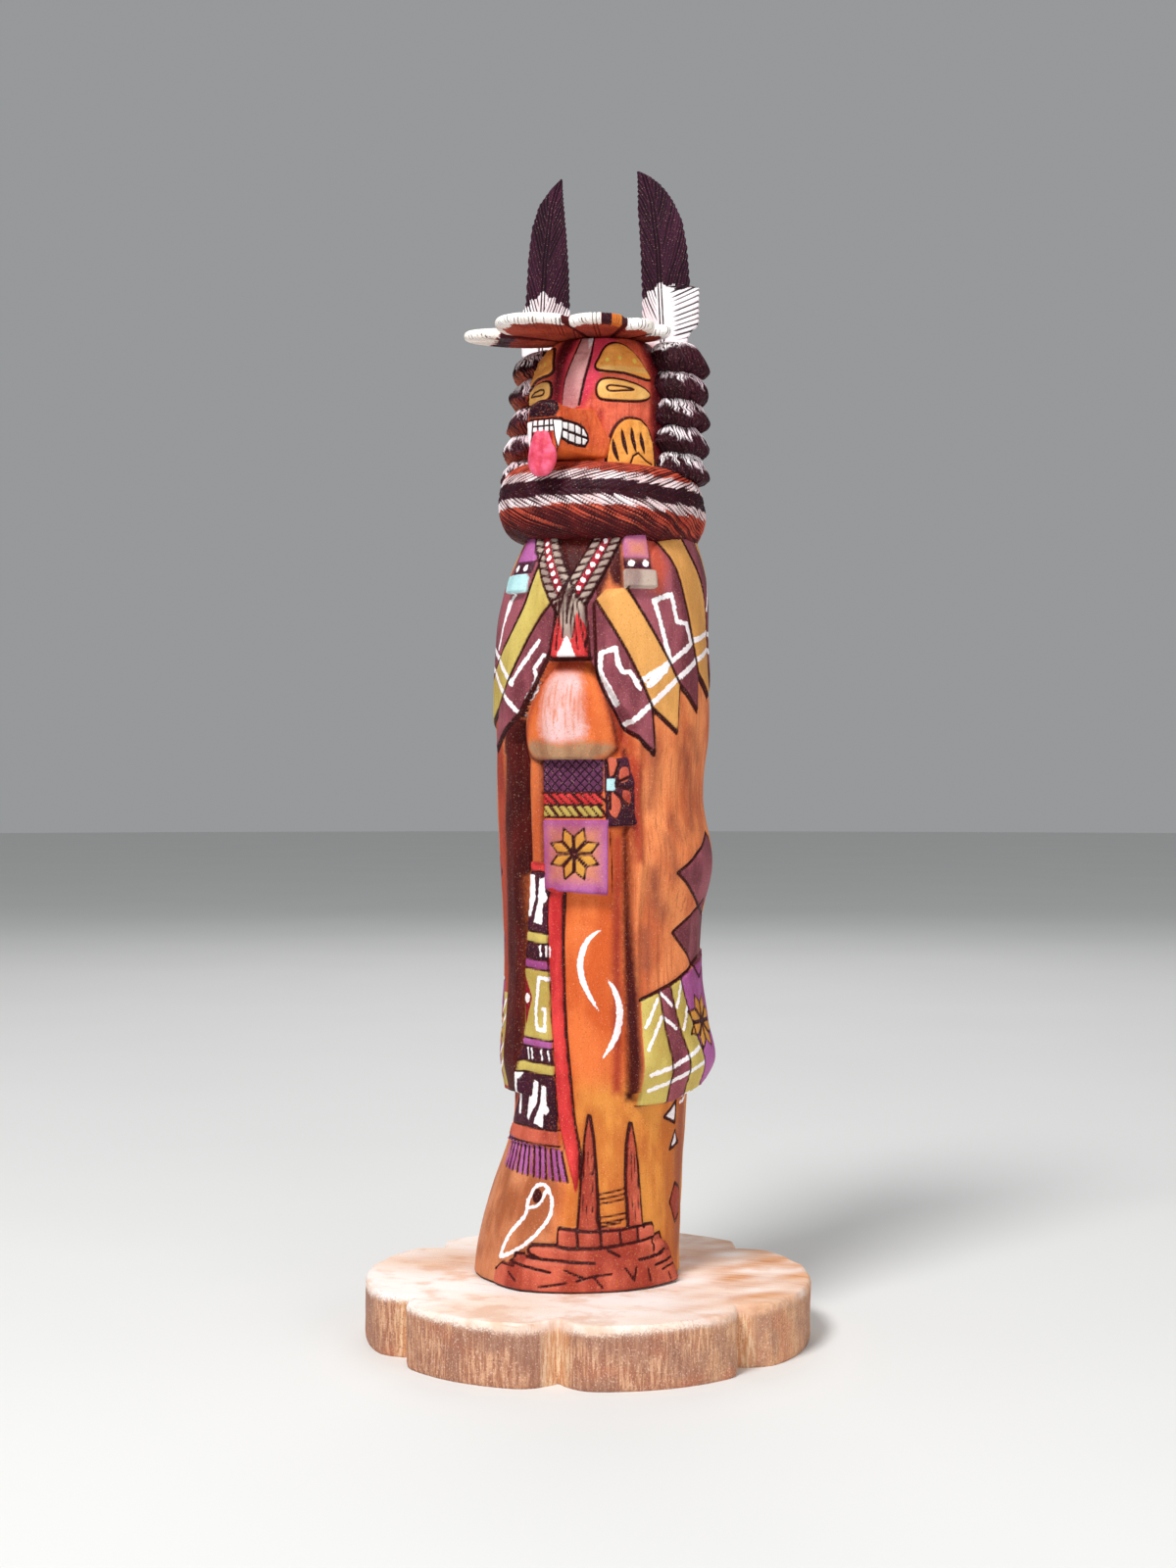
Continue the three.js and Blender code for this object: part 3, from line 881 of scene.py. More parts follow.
class RobeDesign(Canvas):
    """The designs painted and carved on the robe, the gown and the belly, laid out flat."""

    CAPE_RIGHT = [
        [(13, 186), (14, 176), (16, 167), (30, 156)],
        [(14, 187), (31, 174.5), (41, 165), (46, 160)],
        [(32, 190), (46, 180), (56, 173), (65, 166)],
        [(55, 202), (64, 196), (70, 187), (77, 177), (81, 169)],
        [(76, 204), (84, 197), (91, 190), (95, 181.5), (98, 173)],
    ]
    CAPE_LEFT = [
        [(-9, 186), (-10, 177), (-16, 170), (-31, 159)],
        [(-11, 187), (-22, 180.5), (-39, 168.5), (-53, 160.5)],
        [(-24, 200), (-31, 187), (-40, 180), (-53, 173.4), (-70, 166)],
    ]
    CAPE_BACK = [(-44, 204), (-50, 196), (-58, 188), (-68, 180), (-80, 172)]
    TIPS_RIGHT = [(48, 148.5), (62.5, 154), (80, 159.5), (98, 163)]
    TIPS_LEFT = [(-59, 149.5), (-77, 155.5)]
    PANEL = 18  # degrees from one seam of the cape to the next, round the back

    def paint(self, opening: Point) -> None:
        """Lays every design, the ground stains and painted shade first.

        Args:
            opening: the robe's left and right edge in front, in degrees.
        """
        self.stains(opening)
        designs = (
            self.cape, self.cape_marks, self.necklace, self.ear_drops, self.belly_stains, self.belt,
            self.apron, self.sash, self.robe_side, self.gown_marks, self.house)
        for design in designs:
            design()

    def cape(self) -> None:
        """Paints the cape's feather panels right round the shoulders."""
        right, left = [list(line) for line in self.CAPE_RIGHT], [list(line) for line in self.CAPE_LEFT]
        right_tips, left_tips = list(self.TIPS_RIGHT), list(self.TIPS_LEFT)
        for k in range(1, 5):
            right.append(shifted(self.CAPE_RIGHT[-1], self.PANEL * k))
            right_tips.append((98 + self.PANEL * k, 163))
        for k in range(1, 6):
            left.append(shifted(self.CAPE_BACK, -self.PANEL * k))
            left_tips.append((-77 - self.PANEL * k, 160))
        shapes: list[Patch] = []
        for lines, tips, second in ((right, right_tips, Paint.OCHRE), (left, left_tips, Paint.OLIVE)):
            for k, tip in enumerate(tips[:len(lines) - 1]):
                panel = Patch(softened(lines[k]) + [tip] + softened(lines[k + 1])[::-1])
                shapes.append(panel)
                self.lay(Paint.MAROON if k % 2 == 0 else (second if k < 2 else Paint.OCHRE), panel)
                outline = [lines[k][-1], tip, lines[k + 1][-1]]
                bold = 0.35 if abs(tip[0]) > 90 else 0
                self.line(Paint.BURN, 0.95 + bold, outline)
                self.line(Paint.BURN, 0.8 + bold, lines[k + 1], curved=True)
            self.line(Paint.BURN, 0.9, lines[0], curved=True)
        back = Patch(softened(right[-1]) + [(186, 170), (205, 206), (150, 206)])
        shapes.append(back)
        self.lay(Paint.MAROON, back)
        self.block(Paint.MAROON, (-180, -160, 178, 206))
        self.fill(Paint.MAROON, [(45, 206), (56, 206), (57, 200), (46, 188)])
        self.fill(Paint.OCHRE, [(14, 187), (20, 189.6), (32, 190), (31, 184)])
        self.fill(Paint.RUST, [(46, 203), (54, 204), (58, 196), (52, 188), (46, 190)])
        shapes.append(box_patch(-182, -158, 176, 206))
        self.carve("cape", *shapes)

    def cape_marks(self) -> None:
        """Paints the cape's white key figures and its two white bands."""
        keys = [
            [(26, 161), (16.5, 169), (17, 173.5), (25, 175), (26.5, 171), (29, 169), (33, 169), (38, 165)],
            [(58, 172), (51, 182), (47, 187), (59, 188.7), (61, 185.5), (63, 182), (70, 181.6), (74, 176.7)],
            [(-56, 176), (-51, 181), (-47, 187), (-40, 189)],
        ]
        zigzags = [
            [(-18, 177), (-38, 166.5)],
            [(-15, 173.4), (-21, 170), (-19.5, 168), (-22, 165), (-26, 162.5)],
            [(-43, 188.5), (-50, 182), (-53, 180)],
        ]
        bands = [
            [(40, 167.2), (58, 171.8), (77, 177.6), (94, 180)],
            [(32, 156), (46, 161.6), (62, 167.5), (79, 172.7), (94, 175.6)],
            [(-37, 166.5), (-53, 173.2), (-66, 176)],
            [(-31, 159), (-45, 164), (-58, 169.5), (-70, 172)],
        ]
        for width, lines in ((1.25, keys), (1.1, zigzags), (1.35, bands)):
            self.line(Paint.WHITE, width, *lines)
        self.line(Paint.WHITE, 1.9, [(44, 166), (54, 170)])
        for k in range(5):
            start, drop = 94 + self.PANEL * k, 0.8 * k
            pair = [[(start, z - drop), (start + self.PANEL, z - drop - 0.8)] for z in (180, 175.8)]
            self.line(Paint.WHITE, 1.3, *pair)
            if k % 2 == 0:
                key = [
                    (start + 2, 186), (start + 10, 194), (start + 13, 190), (start + 16, 190),
                    (start + 17, 184)]
                self.line(Paint.WHITE, 1.2, key)
        for k in range(6):
            start = -70 - self.PANEL * k
            self.line(Paint.WHITE, 1.2, *[[(start, z), (start - self.PANEL, z)] for z in (176, 172)])

    def necklace(self) -> None:
        """Paints the crossed strings of beads and the tassel under them."""
        tassel = Patch(
            [(-1.7, 192.6), (-5, 187), (-11, 177.3), (-12, 172.5), (11, 172.5), (10, 178), (8.4, 185.5),
             (3, 188.5)])
        inside = self.distance(tassel)
        strings = [[(-28.5, 206.5), (-3.5, 187)], [(26, 206.5), (0.5, 187)]]
        over = self.distance(Stroke(strings[1], 7.4))
        for line, off, lean in ((strings[0], np.minimum(over, inside), 0.9), (strings[1], inside, -0.9)):
            self.line(Paint.GREY, 7.2, line, off=off)
            self.line(Paint.CRIMSON, 2.3, line, off=off)
            (ax, az), (bx, bz) = [(a * self.scale, z) for a, z in line]
            length = math.dist((ax, az), (bx, bz))
            dx, dz = (bx - ax) / length, (bz - az) / length

            def spot(forward: float, aside: float) -> Point:
                """A place on the string, as the canvas takes it."""
                return (ax + dx * forward - dz * aside) / self.scale, az + dz * forward + dx * aside

            for n in range(11):
                forward = n * 2.3
                for near, far in ((-3.7, -1.2), (1.2, 3.9)):
                    self.line(Paint.BURN, 0.62, [spot(forward + lean * s, s) for s in (near, far)], off=off)
                self.lay(Paint.WHITE, Dot(spot(forward + 0.8, 0), 0.7), off=off)
            for aside, width in ((-3.7, 0.75), (-1.2, 0.45), (1.2, 0.45), (3.7, 0.75)):
                self.line(Paint.BURN, width, [spot(0, aside), spot(length + 2, aside)], off=off)
        self.fill(
            Paint.MAROON, [(8, 190), (14, 190), (16.5, 180), (17, 168), (10, 172.5), (8, 180)], off=inside)
        self.lay(Paint.GREY, tassel)
        self.fill(Paint.MAROON, [(-1.4, 188), (-4, 182), (-1, 178), (1.6, 182)], inside=inside)
        self.fill(
            Paint.RED, [(-5.4, 184), (-9, 179.4), (-12.6, 172), (-5, 172), (-3.2, 177)],
            [(4, 184), (9, 180.4), (11.6, 172), (4, 172), (1.6, 177)],
            [(-6, 174), (-1, 178.6), (4, 174), (3, 172), (-5, 172)], inside=inside)
        self.fill(Paint.WHITE, [(-1, 178.6), (-7, 172.3), (4.3, 172.3)], inside=inside)
        rays = [(-10.5, 173), (-7, 174.5), (-3.4, 177.6), (-1, 181), (1.8, 177.6), (5, 174.5), (9.4, 174)]
        self.lines(
            Paint.BURN, (0.5, *[[(-1.4 + 0.4 * ray[0], 190), ray] for ray in rays]),
            (0.8, [(-13, 172.3), (12, 172.3)]))
        self.line(Paint.BURN, 0.7, tassel.points, closed=True)
        self.carve("strings", *[Stroke(line, 7.6) for line in strings])
        self.carve("tassel", tassel)

    def ear_drops(self) -> None:
        """Paints the ear drops: a purple tab, a spotted band and a stone block on each side."""
        tabs = [box_patch(31, 46, 197.4, 206), box_patch(-45, -28.5, 197.2, 206)]
        blocks = [box_patch(30, 48, 189.8, 194.6), box_patch(-45, -30, 189.4, 194.2)]
        self.lay(Paint.PURPLE, *tabs)
        self.block(Paint.ROSE, (33, 44.5, 198, 202))
        self.block(Paint.INK, (30.5, 46.5, 194.6, 197.6), (-45.5, -28, 194.2, 197.4))
        spots = [(34.2, 196.1), (42.6, 196.1), (-41.5, 195.8), (-33.5, 195.8)]
        self.lay(Paint.WHITE, *[Dot(spot, 0.85) for spot in spots])
        self.lay(Paint.GREY, blocks[0])
        self.lay(Paint.TURQUOISE, blocks[1])
        self.line(Paint.BURN, 0.4, [(30.4, 197.6), (46.6, 197.6)], [(-45.6, 197.3), (-28, 197.3)])
        # painted shade beside the ear drops, where they stand proud of the robe
        self.fill(
            Paint.DARK_STAIN_AND_SHADE, [(23, 206), (30.5, 206), (30, 190), (24, 191), (21, 194)],
            [(-29, 206), (-25, 206), (-24, 200), (-21, 190), (-30, 189)])
        self.carve("tabs", *tabs, box_patch(30.5, 46.5, 194, 198), box_patch(-45.5, -28, 193.6, 198))
        self.carve("blocks", *blocks)

    def belly_stains(self) -> None:
        """Paints the belly: orange sides, a pale middle that is a painted highlight, a tan lower rim that is
        partly painted shade, and painted shade round its edges.
        """
        self.fill(
            Paint.GOWN,
            [(-31, 149), (-28, 156), (-17, 168), (-11, 172.5), (9, 172.5), (17, 166), (26, 150), (20, 147)],
            curved=True)
        # the pale middle is a painted highlight on the dome
        self.fill(
            Paint.PALE, [(-12, 168.5), (4, 168.5), (7, 160), (8, 153), (-13, 152), (-16, 160)], curved=True)
        for k, a in enumerate((-15, -12.5, -10.4, -7.6, -5.8, -3, -1.2, 1.6, 3.4, 5.6, 8)):
            top, low = 168 - (k * 5) % 7, 152.5 + (k * 3) % 8
            self.line(Paint.STREAK, 0.4, [(a, top), (a - 0.8, (top + low) / 2), (a + 0.4, low)], tapered=True)
        # the tan lower rim faces down; its darker colour is partly painted shade
        rim = [
            (-27, 151.2), (-17, 152.2), (-6, 151), (6, 151.6), (16, 151.4), (25, 150.6), (17, 148),
            (8, 146.6), (0, 146.2), (-10, 146.6), (-22, 148.2)]
        self.fill(Paint.TAN, rim, curved=True)
        # painted shade round the dome's edges, under the tassel and in the groove on its right
        self.line(
            Paint.RED_STAIN_AND_SHADE, 1.4,
            [(-31, 150), (-25, 160), (-18, 169), (-12, 172.6), (9, 172.8), (17, 166), (25, 156), (27, 150)],
            curved=True)
        self.fill(Paint.RED_STAIN_AND_SHADE, [(-13, 173), (9, 173), (7, 169.5), (-11, 169.5)])
        self.fill(
            Paint.RED_STAIN_AND_SHADE, [(14, 170), (20, 163), (26, 152), (36, 150), (31, 158), (24, 168), (18, 173)])
        # painted shadow under the belly and along its right edge
        self.lines(
            Paint.DARK_STAIN_AND_SHADE, (0.7, [(12, 172), (20, 163), (25.5, 154)]),
            (1.2, [(-33, 152), (-28, 149), (-20, 146.8), (-8, 145.8), (8, 145.8), (18, 146.8), (27, 150)]),
            curved=True)
        self.line(Paint.DARK_STAIN_AND_SHADE, 0.5, [(27, 151), (23, 159), (17, 167)])

    def belt(self) -> None:
        """Paints the belt: its woven top, two slanted-stitch bands, and the ornament beside it."""
        self.block(Paint.INK, (-18, 18.5, 139.2, 147.4))
        # painted shade along both sides of the raised, rounded strip
        self.lines(Paint.SMUDGE_AND_SHADE, (0.6, [(-21, 147), (-21, 122)]), (0.8, [(-28.5, 147), (-28.5, 122)]))
        self.block(Paint.RED, (-19, 18, 136.2, 139.2))
        self.block(Paint.OLIVE, (-19, 18, 133, 136))
        for k in range(8):
            a = -20.5 + 5 * k
            width = 0.5 + 0.3 * (k % 3 == 1)
            upper, lower = [(a, 139), (a + 7, 136.3)], [(a + 1, 135.9), (a + 6.5, 133.1)]
            self.lines(Paint.BURN, (width, upper), (width + 0.05, lower))
        self.line(Paint.BURN, 0.55, *[[(-19, z), (18, z)] for z in (139.2, 136.1, 133)])
        ornament = [(18.8, 147.5), (33, 148), (36.5, 142), (36.5, 134), (37.5, 131), (20, 130.6)]
        leaves = [
            [(21, 147.4), (25, 147.8), (26.6, 145.6), (24, 143.4), (21.4, 143.8)],
            [(28.5, 145), (33, 145.4), (33.6, 142.4), (28.4, 141.8)],
            [(21.6, 138.4), (26, 139), (29, 136), (26, 133), (22, 134.6)],
            [(30, 139.6), (34.6, 139.2), (34, 136), (31, 136.6)],
        ]
        petals = [Patch(leaf, curved=True) for leaf in leaves]
        self.fill(Paint.INK, ornament, off=self.distance(*petals))
        self.lay(Paint.BRICK, *petals)
        self.block(Paint.TURQUOISE, (20.4, 25.4, 139.6, 142.6))
        rays = [
            [(21.5, 143), (20.4, 147)], [(25, 143), (28, 146.6)], [(26, 141.6), (34, 143)],
            [(26, 140.8), (35.5, 140)], [(25.4, 139.2), (33.5, 136)], [(22.4, 139.2), (22.5, 135)]]
        self.line(Paint.BURN, 0.8, *rays)
        self.carve("belt", box_patch(-19, 18.5, 132, 148.5))
        self.carve("ornament", box_patch(18, 36, 130.5, 148))
        self.carve("strip", box_patch(-29.5, -19.4, 121, 149))

    def apron(self) -> None:
        """Paints the apron plate: purple border, rosy middle and an eight-petalled star."""
        plate = Patch([(-18, 132.4), (21.5, 132.4), (21.5, 113.6), (-17.5, 114.6)])
        self.lay(Paint.PURPLE, plate)
        self.fill(Paint.ROSE, [(-14, 130.6), (17, 130.4), (17, 116.8), (-13.4, 117)])
        self.star((1.7, 123.9), 6.9)
        self.carve("apron", plate)

    def star(self, middle: Point, reach: float) -> None:
        """Paints an eight-petalled star with burnt outlines.

        Args:
            middle: where its middle is.
            reach: how long its petals are, in millimetres.
        """
        corners = ((0.5, 0), (reach * 0.62, reach * 0.21), (reach, 0), (reach * 0.62, -reach * 0.21))
        for k in range(8):
            cos, sin = math.cos((22.5 + 45 * k) * ARC), math.sin((22.5 + 45 * k) * ARC)
            out = [(r * cos - w * sin, r * sin + w * cos) for r, w in corners]
            petal = [(middle[0] + x / self.scale, middle[1] + z) for x, z in out]
            self.outlined(Paint.PETAL, petal, 0.55)

    @staticmethod
    def sash_edges(height: float) -> Point:
        """The sash's left and right angles at a height.

        Args:
            height: where on the doll, in millimetres.

        Returns:
            The two angles in degrees.
        """
        levels = (40, 50, 54, 68, 80, 104, 122)
        left = np.interp(height, levels, (-52, -60, -58, -41, -39, -38, -31.5))
        right = np.interp(height, levels, (-6, -10, -12.5, -15, -17, -18.5, -16))
        return float(left), float(right)

    def sash(self) -> None:
        """Paints the long sash with its bands and fringe, and the red strip beside it."""
        edge = self.sash_edges
        order = [
            (Paint.RED, 119.6, 122), (Paint.INK, 104.3, 119.6), (Paint.OLIVE, 101.6, 104.3),
            (Paint.INK, 97.4, 101.6), (Paint.PURPLE, 95, 97.4), (Paint.OLIVE, 77.4, 95),
            (Paint.PURPLE, 75.3, 77.4), (Paint.INK, 71.4, 75.3), (Paint.OLIVE, 68.6, 71.4),
            (Paint.INK, 55, 68.6), (Paint.BRICK, 51.2, 55)]
        for paint, low, high in order:
            self.lay(paint, band(edge, low, high, 0.7))
            left, right = edge(low)
            self.line(Paint.BURN, 0.55, [(left, low), (right, low - 0.7)])
        figures = [
            [(-29.5, 118.6), (-25, 118.4), (-25, 113), (-30.5, 107.6), (-33, 107.8), (-32.5, 112.3),
             (-35.5, 113.8), (-31, 114.5)],
            [(-21.5, 117.6), (-17.5, 117.8), (-17.5, 114.2), (-15.8, 112.8), (-17.5, 111.2), (-19.5, 111.6),
             (-20, 106), (-27.5, 106.4), (-23, 112)],
            [(-33.5, 66.6), (-29.5, 66.2), (-31, 61), (-38, 56.4), (-40, 57), (-38, 62.6), (-36, 62)],
            [(-27, 65.6), (-23.5, 65.2), (-23, 60.6), (-20.5, 59.4), (-23, 58), (-25.4, 58.4), (-25.4, 54.8),
             (-33, 55.8), (-28, 61)]]
        self.fill(Paint.WHITE, *[shifted(figure, by) for figure, by in zip(figures, (-3, -3, 2.5, 2.5))])
        self.line(Paint.WHITE, 1.1, [(-41, 68), (-45.5, 62.5), (-46, 58)])
        for top, low, places in ((101, 98, (-24.5, -20, -17)), (75, 72, (-35, -31.5, -24, -18.5))):
            self.line(Paint.WHITE, 0.7, *[[(a, top - 0.4), (a + 0.6, low)] for a in places])
        hook = [
            (-17.5, 92.2), (-25.5, 92.6), (-28, 84), (-26.5, 79.6), (-20.5, 79.3), (-20, 84.6), (-22.5, 84.8)]
        self.line(Paint.WHITE, 1.05, hook)
        self.fill(Paint.CRIMSON, [(-38, 94), (-31, 87.5), (-37, 80)])
        self.lay(Paint.WHITE, Dot((-35.5, 87.2), 1.3, 0.8))
        for k in range(12):
            a = -58 + 4.2 * k
            top = 51.4 - 0.2 * k
            lean, drop = 0.35 * k, 0.15 * k
            self.line(Paint.PURPLE, 1.3 if k % 3 else 0.8, [(a, top), (a + 2 + lean, 44.2 - drop)])
            self.line(Paint.BURN, 0.75, [(a + 2.2, top), (a + 4 + lean, 43.6 - drop)])
        strip = [
            (-17.5, 114), (-19, 102), (-17, 88), (-15, 74), (-12.5, 58), (-7, 50), (-0.5, 42), (1.5, 39.2),
            (3, 44), (2, 50), (-2.4, 58), (-5.4, 70), (-8, 85), (-9.5, 102), (-8, 114)]
        red = Patch(strip, curved=True)
        self.lay(Paint.RED, red)
        self.lines(
            Paint.BURN,
            (0.75, [(-7.7, 114), (-9, 102), (-7.6, 85), (-4.9, 70), (-1.9, 58), (2.6, 50), (3.6, 43)]),
            (0.5, [(-17.9, 114), (-19.3, 102), (-17.4, 88), (-15.3, 74), (-12.8, 58), (-7.5, 50)]),
            curved=True)
        levels = (122, 104, 80, 68, 54, 50)
        body = [(edge(z)[0], z) for z in levels] + [(edge(z)[1], z) for z in levels[::-1]]
        self.carve("sash", Patch(body))
        self.carve("red_strip", red)

    def robe_side(self) -> None:
        """Paints the robe's left side: zigzag figures and the lower bordered panel."""
        diamonds = [
            [(62.5, 119), (95, 129), (112, 121), (100, 108), (88, 110)],
            [(64, 104), (95, 112), (112, 104), (102, 95), (92, 92)],
            [(-62, 119), (-80, 127), (-96, 118), (-82, 108)],
            [(-62, 101), (-80, 109), (-96, 100), (-82, 91)]]
        for points in diamonds:
            self.outlined(Paint.MAROON, points, 0.85)
        for points in diamonds[:2]:
            self.outlined(Paint.MAROON, shifted(points, 60), 1.2)
        outline = [(41, 87.6), (70, 92.4), (93, 97), (112, 99), (112, 66), (87, 64), (62, 61), (41, 60.8)]
        panel = self.distance(Patch(outline))
        self.fill(Paint.OLIVE, [(41, 87.6), (53, 89.6), (60, 61), (41, 60.8)], inside=panel)
        self.fill(Paint.OLIVE, [(61, 90.6), (70, 92.6), (87, 64), (74, 61)], inside=panel)
        self.fill(Paint.MAROON, [(53, 89.6), (61, 90.6), (74, 60), (60, 60)], inside=panel)
        self.fill(Paint.PURPLE, [(70, 92.6), (112, 99), (112, 64), (87, 64)], inside=panel)
        self.lines(
            Paint.BURN, (0.8, [(40, 87.4), (70, 92.4), (93, 97.4)]),
            (0.6, [(53, 89.6), (60, 61)], [(61, 90.6), (74, 61)], [(70, 92.6), (87, 65)]),
            (0.5, [(41, 60.6), (60, 61)]))
        self.star((89, 81), 7.4)
        slashes = [
            [(43, 80.6), (51.5, 87.6)], [(43.5, 75.2), (53, 83)], [(54, 89), (61, 85.6)],
            [(53.5, 83.2), (62.5, 80)], [(70, 91.4), (64.5, 85.2)], [(73.5, 85), (68, 79.6)]]
        self.line(Paint.WHITE, 0.9, *slashes)
        bands = [[(45, 69), (57, 70.6), (66, 72.4), (78, 74.8)], [(45, 64.8), (57, 66.6), (70, 69), (82, 71)]]
        self.lines(Paint.WHITE, (1.15, *bands), (0.9, [(70, 62), (77, 63.4)]))
        flowers = [(-75, 80), (135, 84)]
        for a, z in flowers:
            self.block(Paint.PURPLE, (a - 13, a + 13, z - 14, z + 11))
            self.line(Paint.BURN, 0.8, [(a - 13, z + 11), (a + 13, z + 11)])
            self.star((a, z - 1), 6.2)
        self.block(Paint.OLIVE, (-67, -55, 64, 88))
        self.line(Paint.WHITE, 0.9, *[[(-65, z), (-57, z + 3)] for z in (68, 72, 79, 83)])
        self.forms["panel"] = panel

    def gown_marks(self) -> None:
        """Paints the figures on the gown: crescents, loop, hourglass and leaf."""
        self.line(
            Paint.WHITE, 2.1, [(17.5, 105), (8.5, 102.5), (2.6, 97.5), (4.5, 92), (15.5, 84.6)], curved=True,
            tapered=True)
        self.line(
            Paint.WHITE, 2.2, [(20.5, 93), (27, 89), (29.6, 84), (26.5, 78), (17.5, 72.6)], curved=True,
            tapered=True)
        loop = [
            (-39, 23.2), (-35, 28), (-27, 33.4), (-27, 37), (-23.5, 40.4), (-17.5, 41), (-12.6, 38),
            (-12, 34.6), (-15, 31.6), (-24, 26.6), (-37.5, 22.6)]
        self.line(Paint.WHITE, 0.95, loop, curved=True, closed=True)
        self.line(Paint.WHITE, 0.8, [(-26, 35), (-19, 36.4), (-16.5, 39.6)], curved=True)
        self.lay(Paint.BURN, Dot((-21.8, 38.2), 1.75, 0.8))
        triangles = [[(66.6, 57.1), (79, 60.8), (78, 55.2)], [(79, 53.2), (86, 49.8), (73, 48.7)]]
        for points in triangles:
            self.outlined(Paint.WHITE, points, 0.9)
        self.line(Paint.WHITE, 0.9, [(84, 60), (97, 62)])
        self.outlined(Paint.BRICK, [(75, 35), (83, 39.6), (96, 37), (95, 31), (84, 29.6)], 0.8)

    def house(self) -> None:
        """Paints the stepped house at the foot and the ladder that rises from it."""
        poles = [
            [(3.5, 30.5), (4.6, 45), (5.8, 53), (8, 58.4), (9.6, 58.2), (12, 53), (14, 45), (16.2, 30.5)],
            [(34.6, 30.5), (33.4, 42), (34.6, 51), (37.2, 56.4), (39, 56.2), (41.6, 51), (43.6, 42),
             (45.6, 30.5)]]
        outline = [
            (-42, 15), (-42, 19.4), (-36, 21.6), (-28, 22.2), (-30, 23.8), (-20, 24.6), (-20, 26.6), (-8, 27),
            (-7, 31), (54, 31), (56, 28.2), (62, 28), (65, 25.8), (71, 25), (78, 22), (80, 15)]
        self.fill(Paint.BRICK, outline, *poles)
        for pole in poles:
            self.line(Paint.BURN, 0.85, pole)
            left, right = pole[0][0], pole[-1][0]
            for k in range(1, 5):
                a = left + (right - left) * k / 5
                for start in (32 + 3 * (k % 2), 40 + 2 * (k % 3), 47 - k):
                    self.line(Paint.BURN, 0.3, [(a, start + 4.6), (a + 0.9, start)])
        rungs = [
            [(16, 39), (34, 40.3)], [(16, 37.8), (34, 39)], [(16, 36.7), (34, 37.8)],
            [(17, 33.4), (35, 34.3)], [(17, 32), (35, 33)], [(17, 31.2), (30, 32)]]
        courses = [
            [(-7, 31), (10, 30.2), (30, 30.4), (46, 31), (54, 31)], [(-7, 31), (-6.5, 27.4)],
            [(3.5, 30.5), (4.4, 27)], [(16.6, 30.5), (17.4, 26.4)], [(28.5, 29.6), (29.6, 26.6)],
            [(40.8, 30.2), (41.2, 27.2)], [(53.4, 31), (55, 28)],
            [(-21, 26.6), (-8, 26.8), (0, 26.2), (16, 26.2), (40, 27), (62, 28.3)],
            [(-20.5, 26.4), (-19.5, 24.8), (-14, 23.6), (14, 22.8)], [(62, 28.3), (64.5, 25.8)],
            [(52, 27.2), (52, 24.4)], [(21, 25.7), (28, 24)], [(-30, 24), (-25, 24.1), (-16, 23.6)],
            [(-30, 22.5), (-24, 22), (-8, 20.6)], [(40, 22.9), (55, 23.4), (68, 25.4)],
            [(52, 21), (62, 21.6), (72, 23.2)], [(-30, 24), (-30, 22.5)]]
        ground = [
            [(-42, 19.2), (-37, 21.3), (-27, 21.3)], [(-30, 19.6), (-25, 17.8)], [(-13, 16.9), (0, 18.1)],
            [(5, 18.6), (14, 19.8), (23, 20)], [(13.5, 19.4), (18, 16.8)], [(-1, 21.2), (8, 19.4)],
            [(31, 21.2), (36.5, 17.9), (38, 21.2)], [(46, 20.4), (48, 17.2)], [(58, 19.6), (70, 20.6)],
            [(64, 18.4), (66, 16.6)]]
        foot = [(-180, 15.6), (180, 15.6)]
        self.lines(Paint.BURN, (0.5, *rungs), (0.75, *courses), (0.65, *ground), (0.6, foot))
        self.carve("poles", *[Patch(pole) for pole in poles])
        self.carve("course_low", Patch([(-43, 14), (-41, 20.4), (-30, 23), (66, 24), (80, 14)]))
        self.carve("course_mid", box_patch(-22, 64, 14, 26.6))
        self.carve("course_top", box_patch(-8, 55, 14, 31))

    def stains(self, opening: Point) -> None:
        """Stains the ground: gown, its yellower foot and the flare; darkens the robe's edges with dark stain
        and painted shade, and lays painted shade in the grooves, under the ornament and below the neck, with
        soft stains.

        Args:
            opening: the robe's left and right edge in front, in degrees.
        """
        left, right = opening
        self.block(Paint.GOWN, (left - 2, right - 1, 62, 150), (-185, 185, 14, 64))
        self.block(Paint.GOWN_LOW, (-6, 185, 12, 66), (-185, -150, 12, 60))
        self.block(Paint.FLARE, (-150, -8, 12, 50))
        # painted shadow beside the raised strip and under the ornament
        self.lines(Paint.DARK_STAIN_AND_SHADE, (0.5, [(-18.7, 148), (-19.4, 122)]), (0.8, [(18.5, 131), (36, 130.6)]))
        # dark stain and painted shade in the groove left of the opening, painted shade between the strings
        # below the neck and in the groove right of the opening
        self.fill(
            Paint.DARK_STAIN_AND_SHADE,
            [(-55, 62), (-55, 100), (-51, 122), (-50, 138), (-47, 152), (-39, 160), (-32, 164), (-30, 150),
             (-29.6, 121), (-38.5, 118), (-38.5, 62)],
            [(-34, 207), (33, 207), (16, 186), (-13, 186)],
            [(31, 150), (33, 150), (34, 130), (35.4, 110), (38.6, 90), (39.6, 62), (34, 62), (32.6, 90),
             (31.4, 120)])
        # red-brown on the robe's left side and beside the robe's edges, partly stain and partly painted shade
        self.block(Paint.RED_STAIN_AND_SHADE, (-66, -49, 60, 158), (25, 31, 64, 128))
        self.fill(
            Paint.RED_STAIN_AND_SHADE, [(28, 152), (41, 146), (40.5, 122), (36.5, 122)],
            [(-36, 60), (-30, 60), (-30, 50), (-40, 50)])
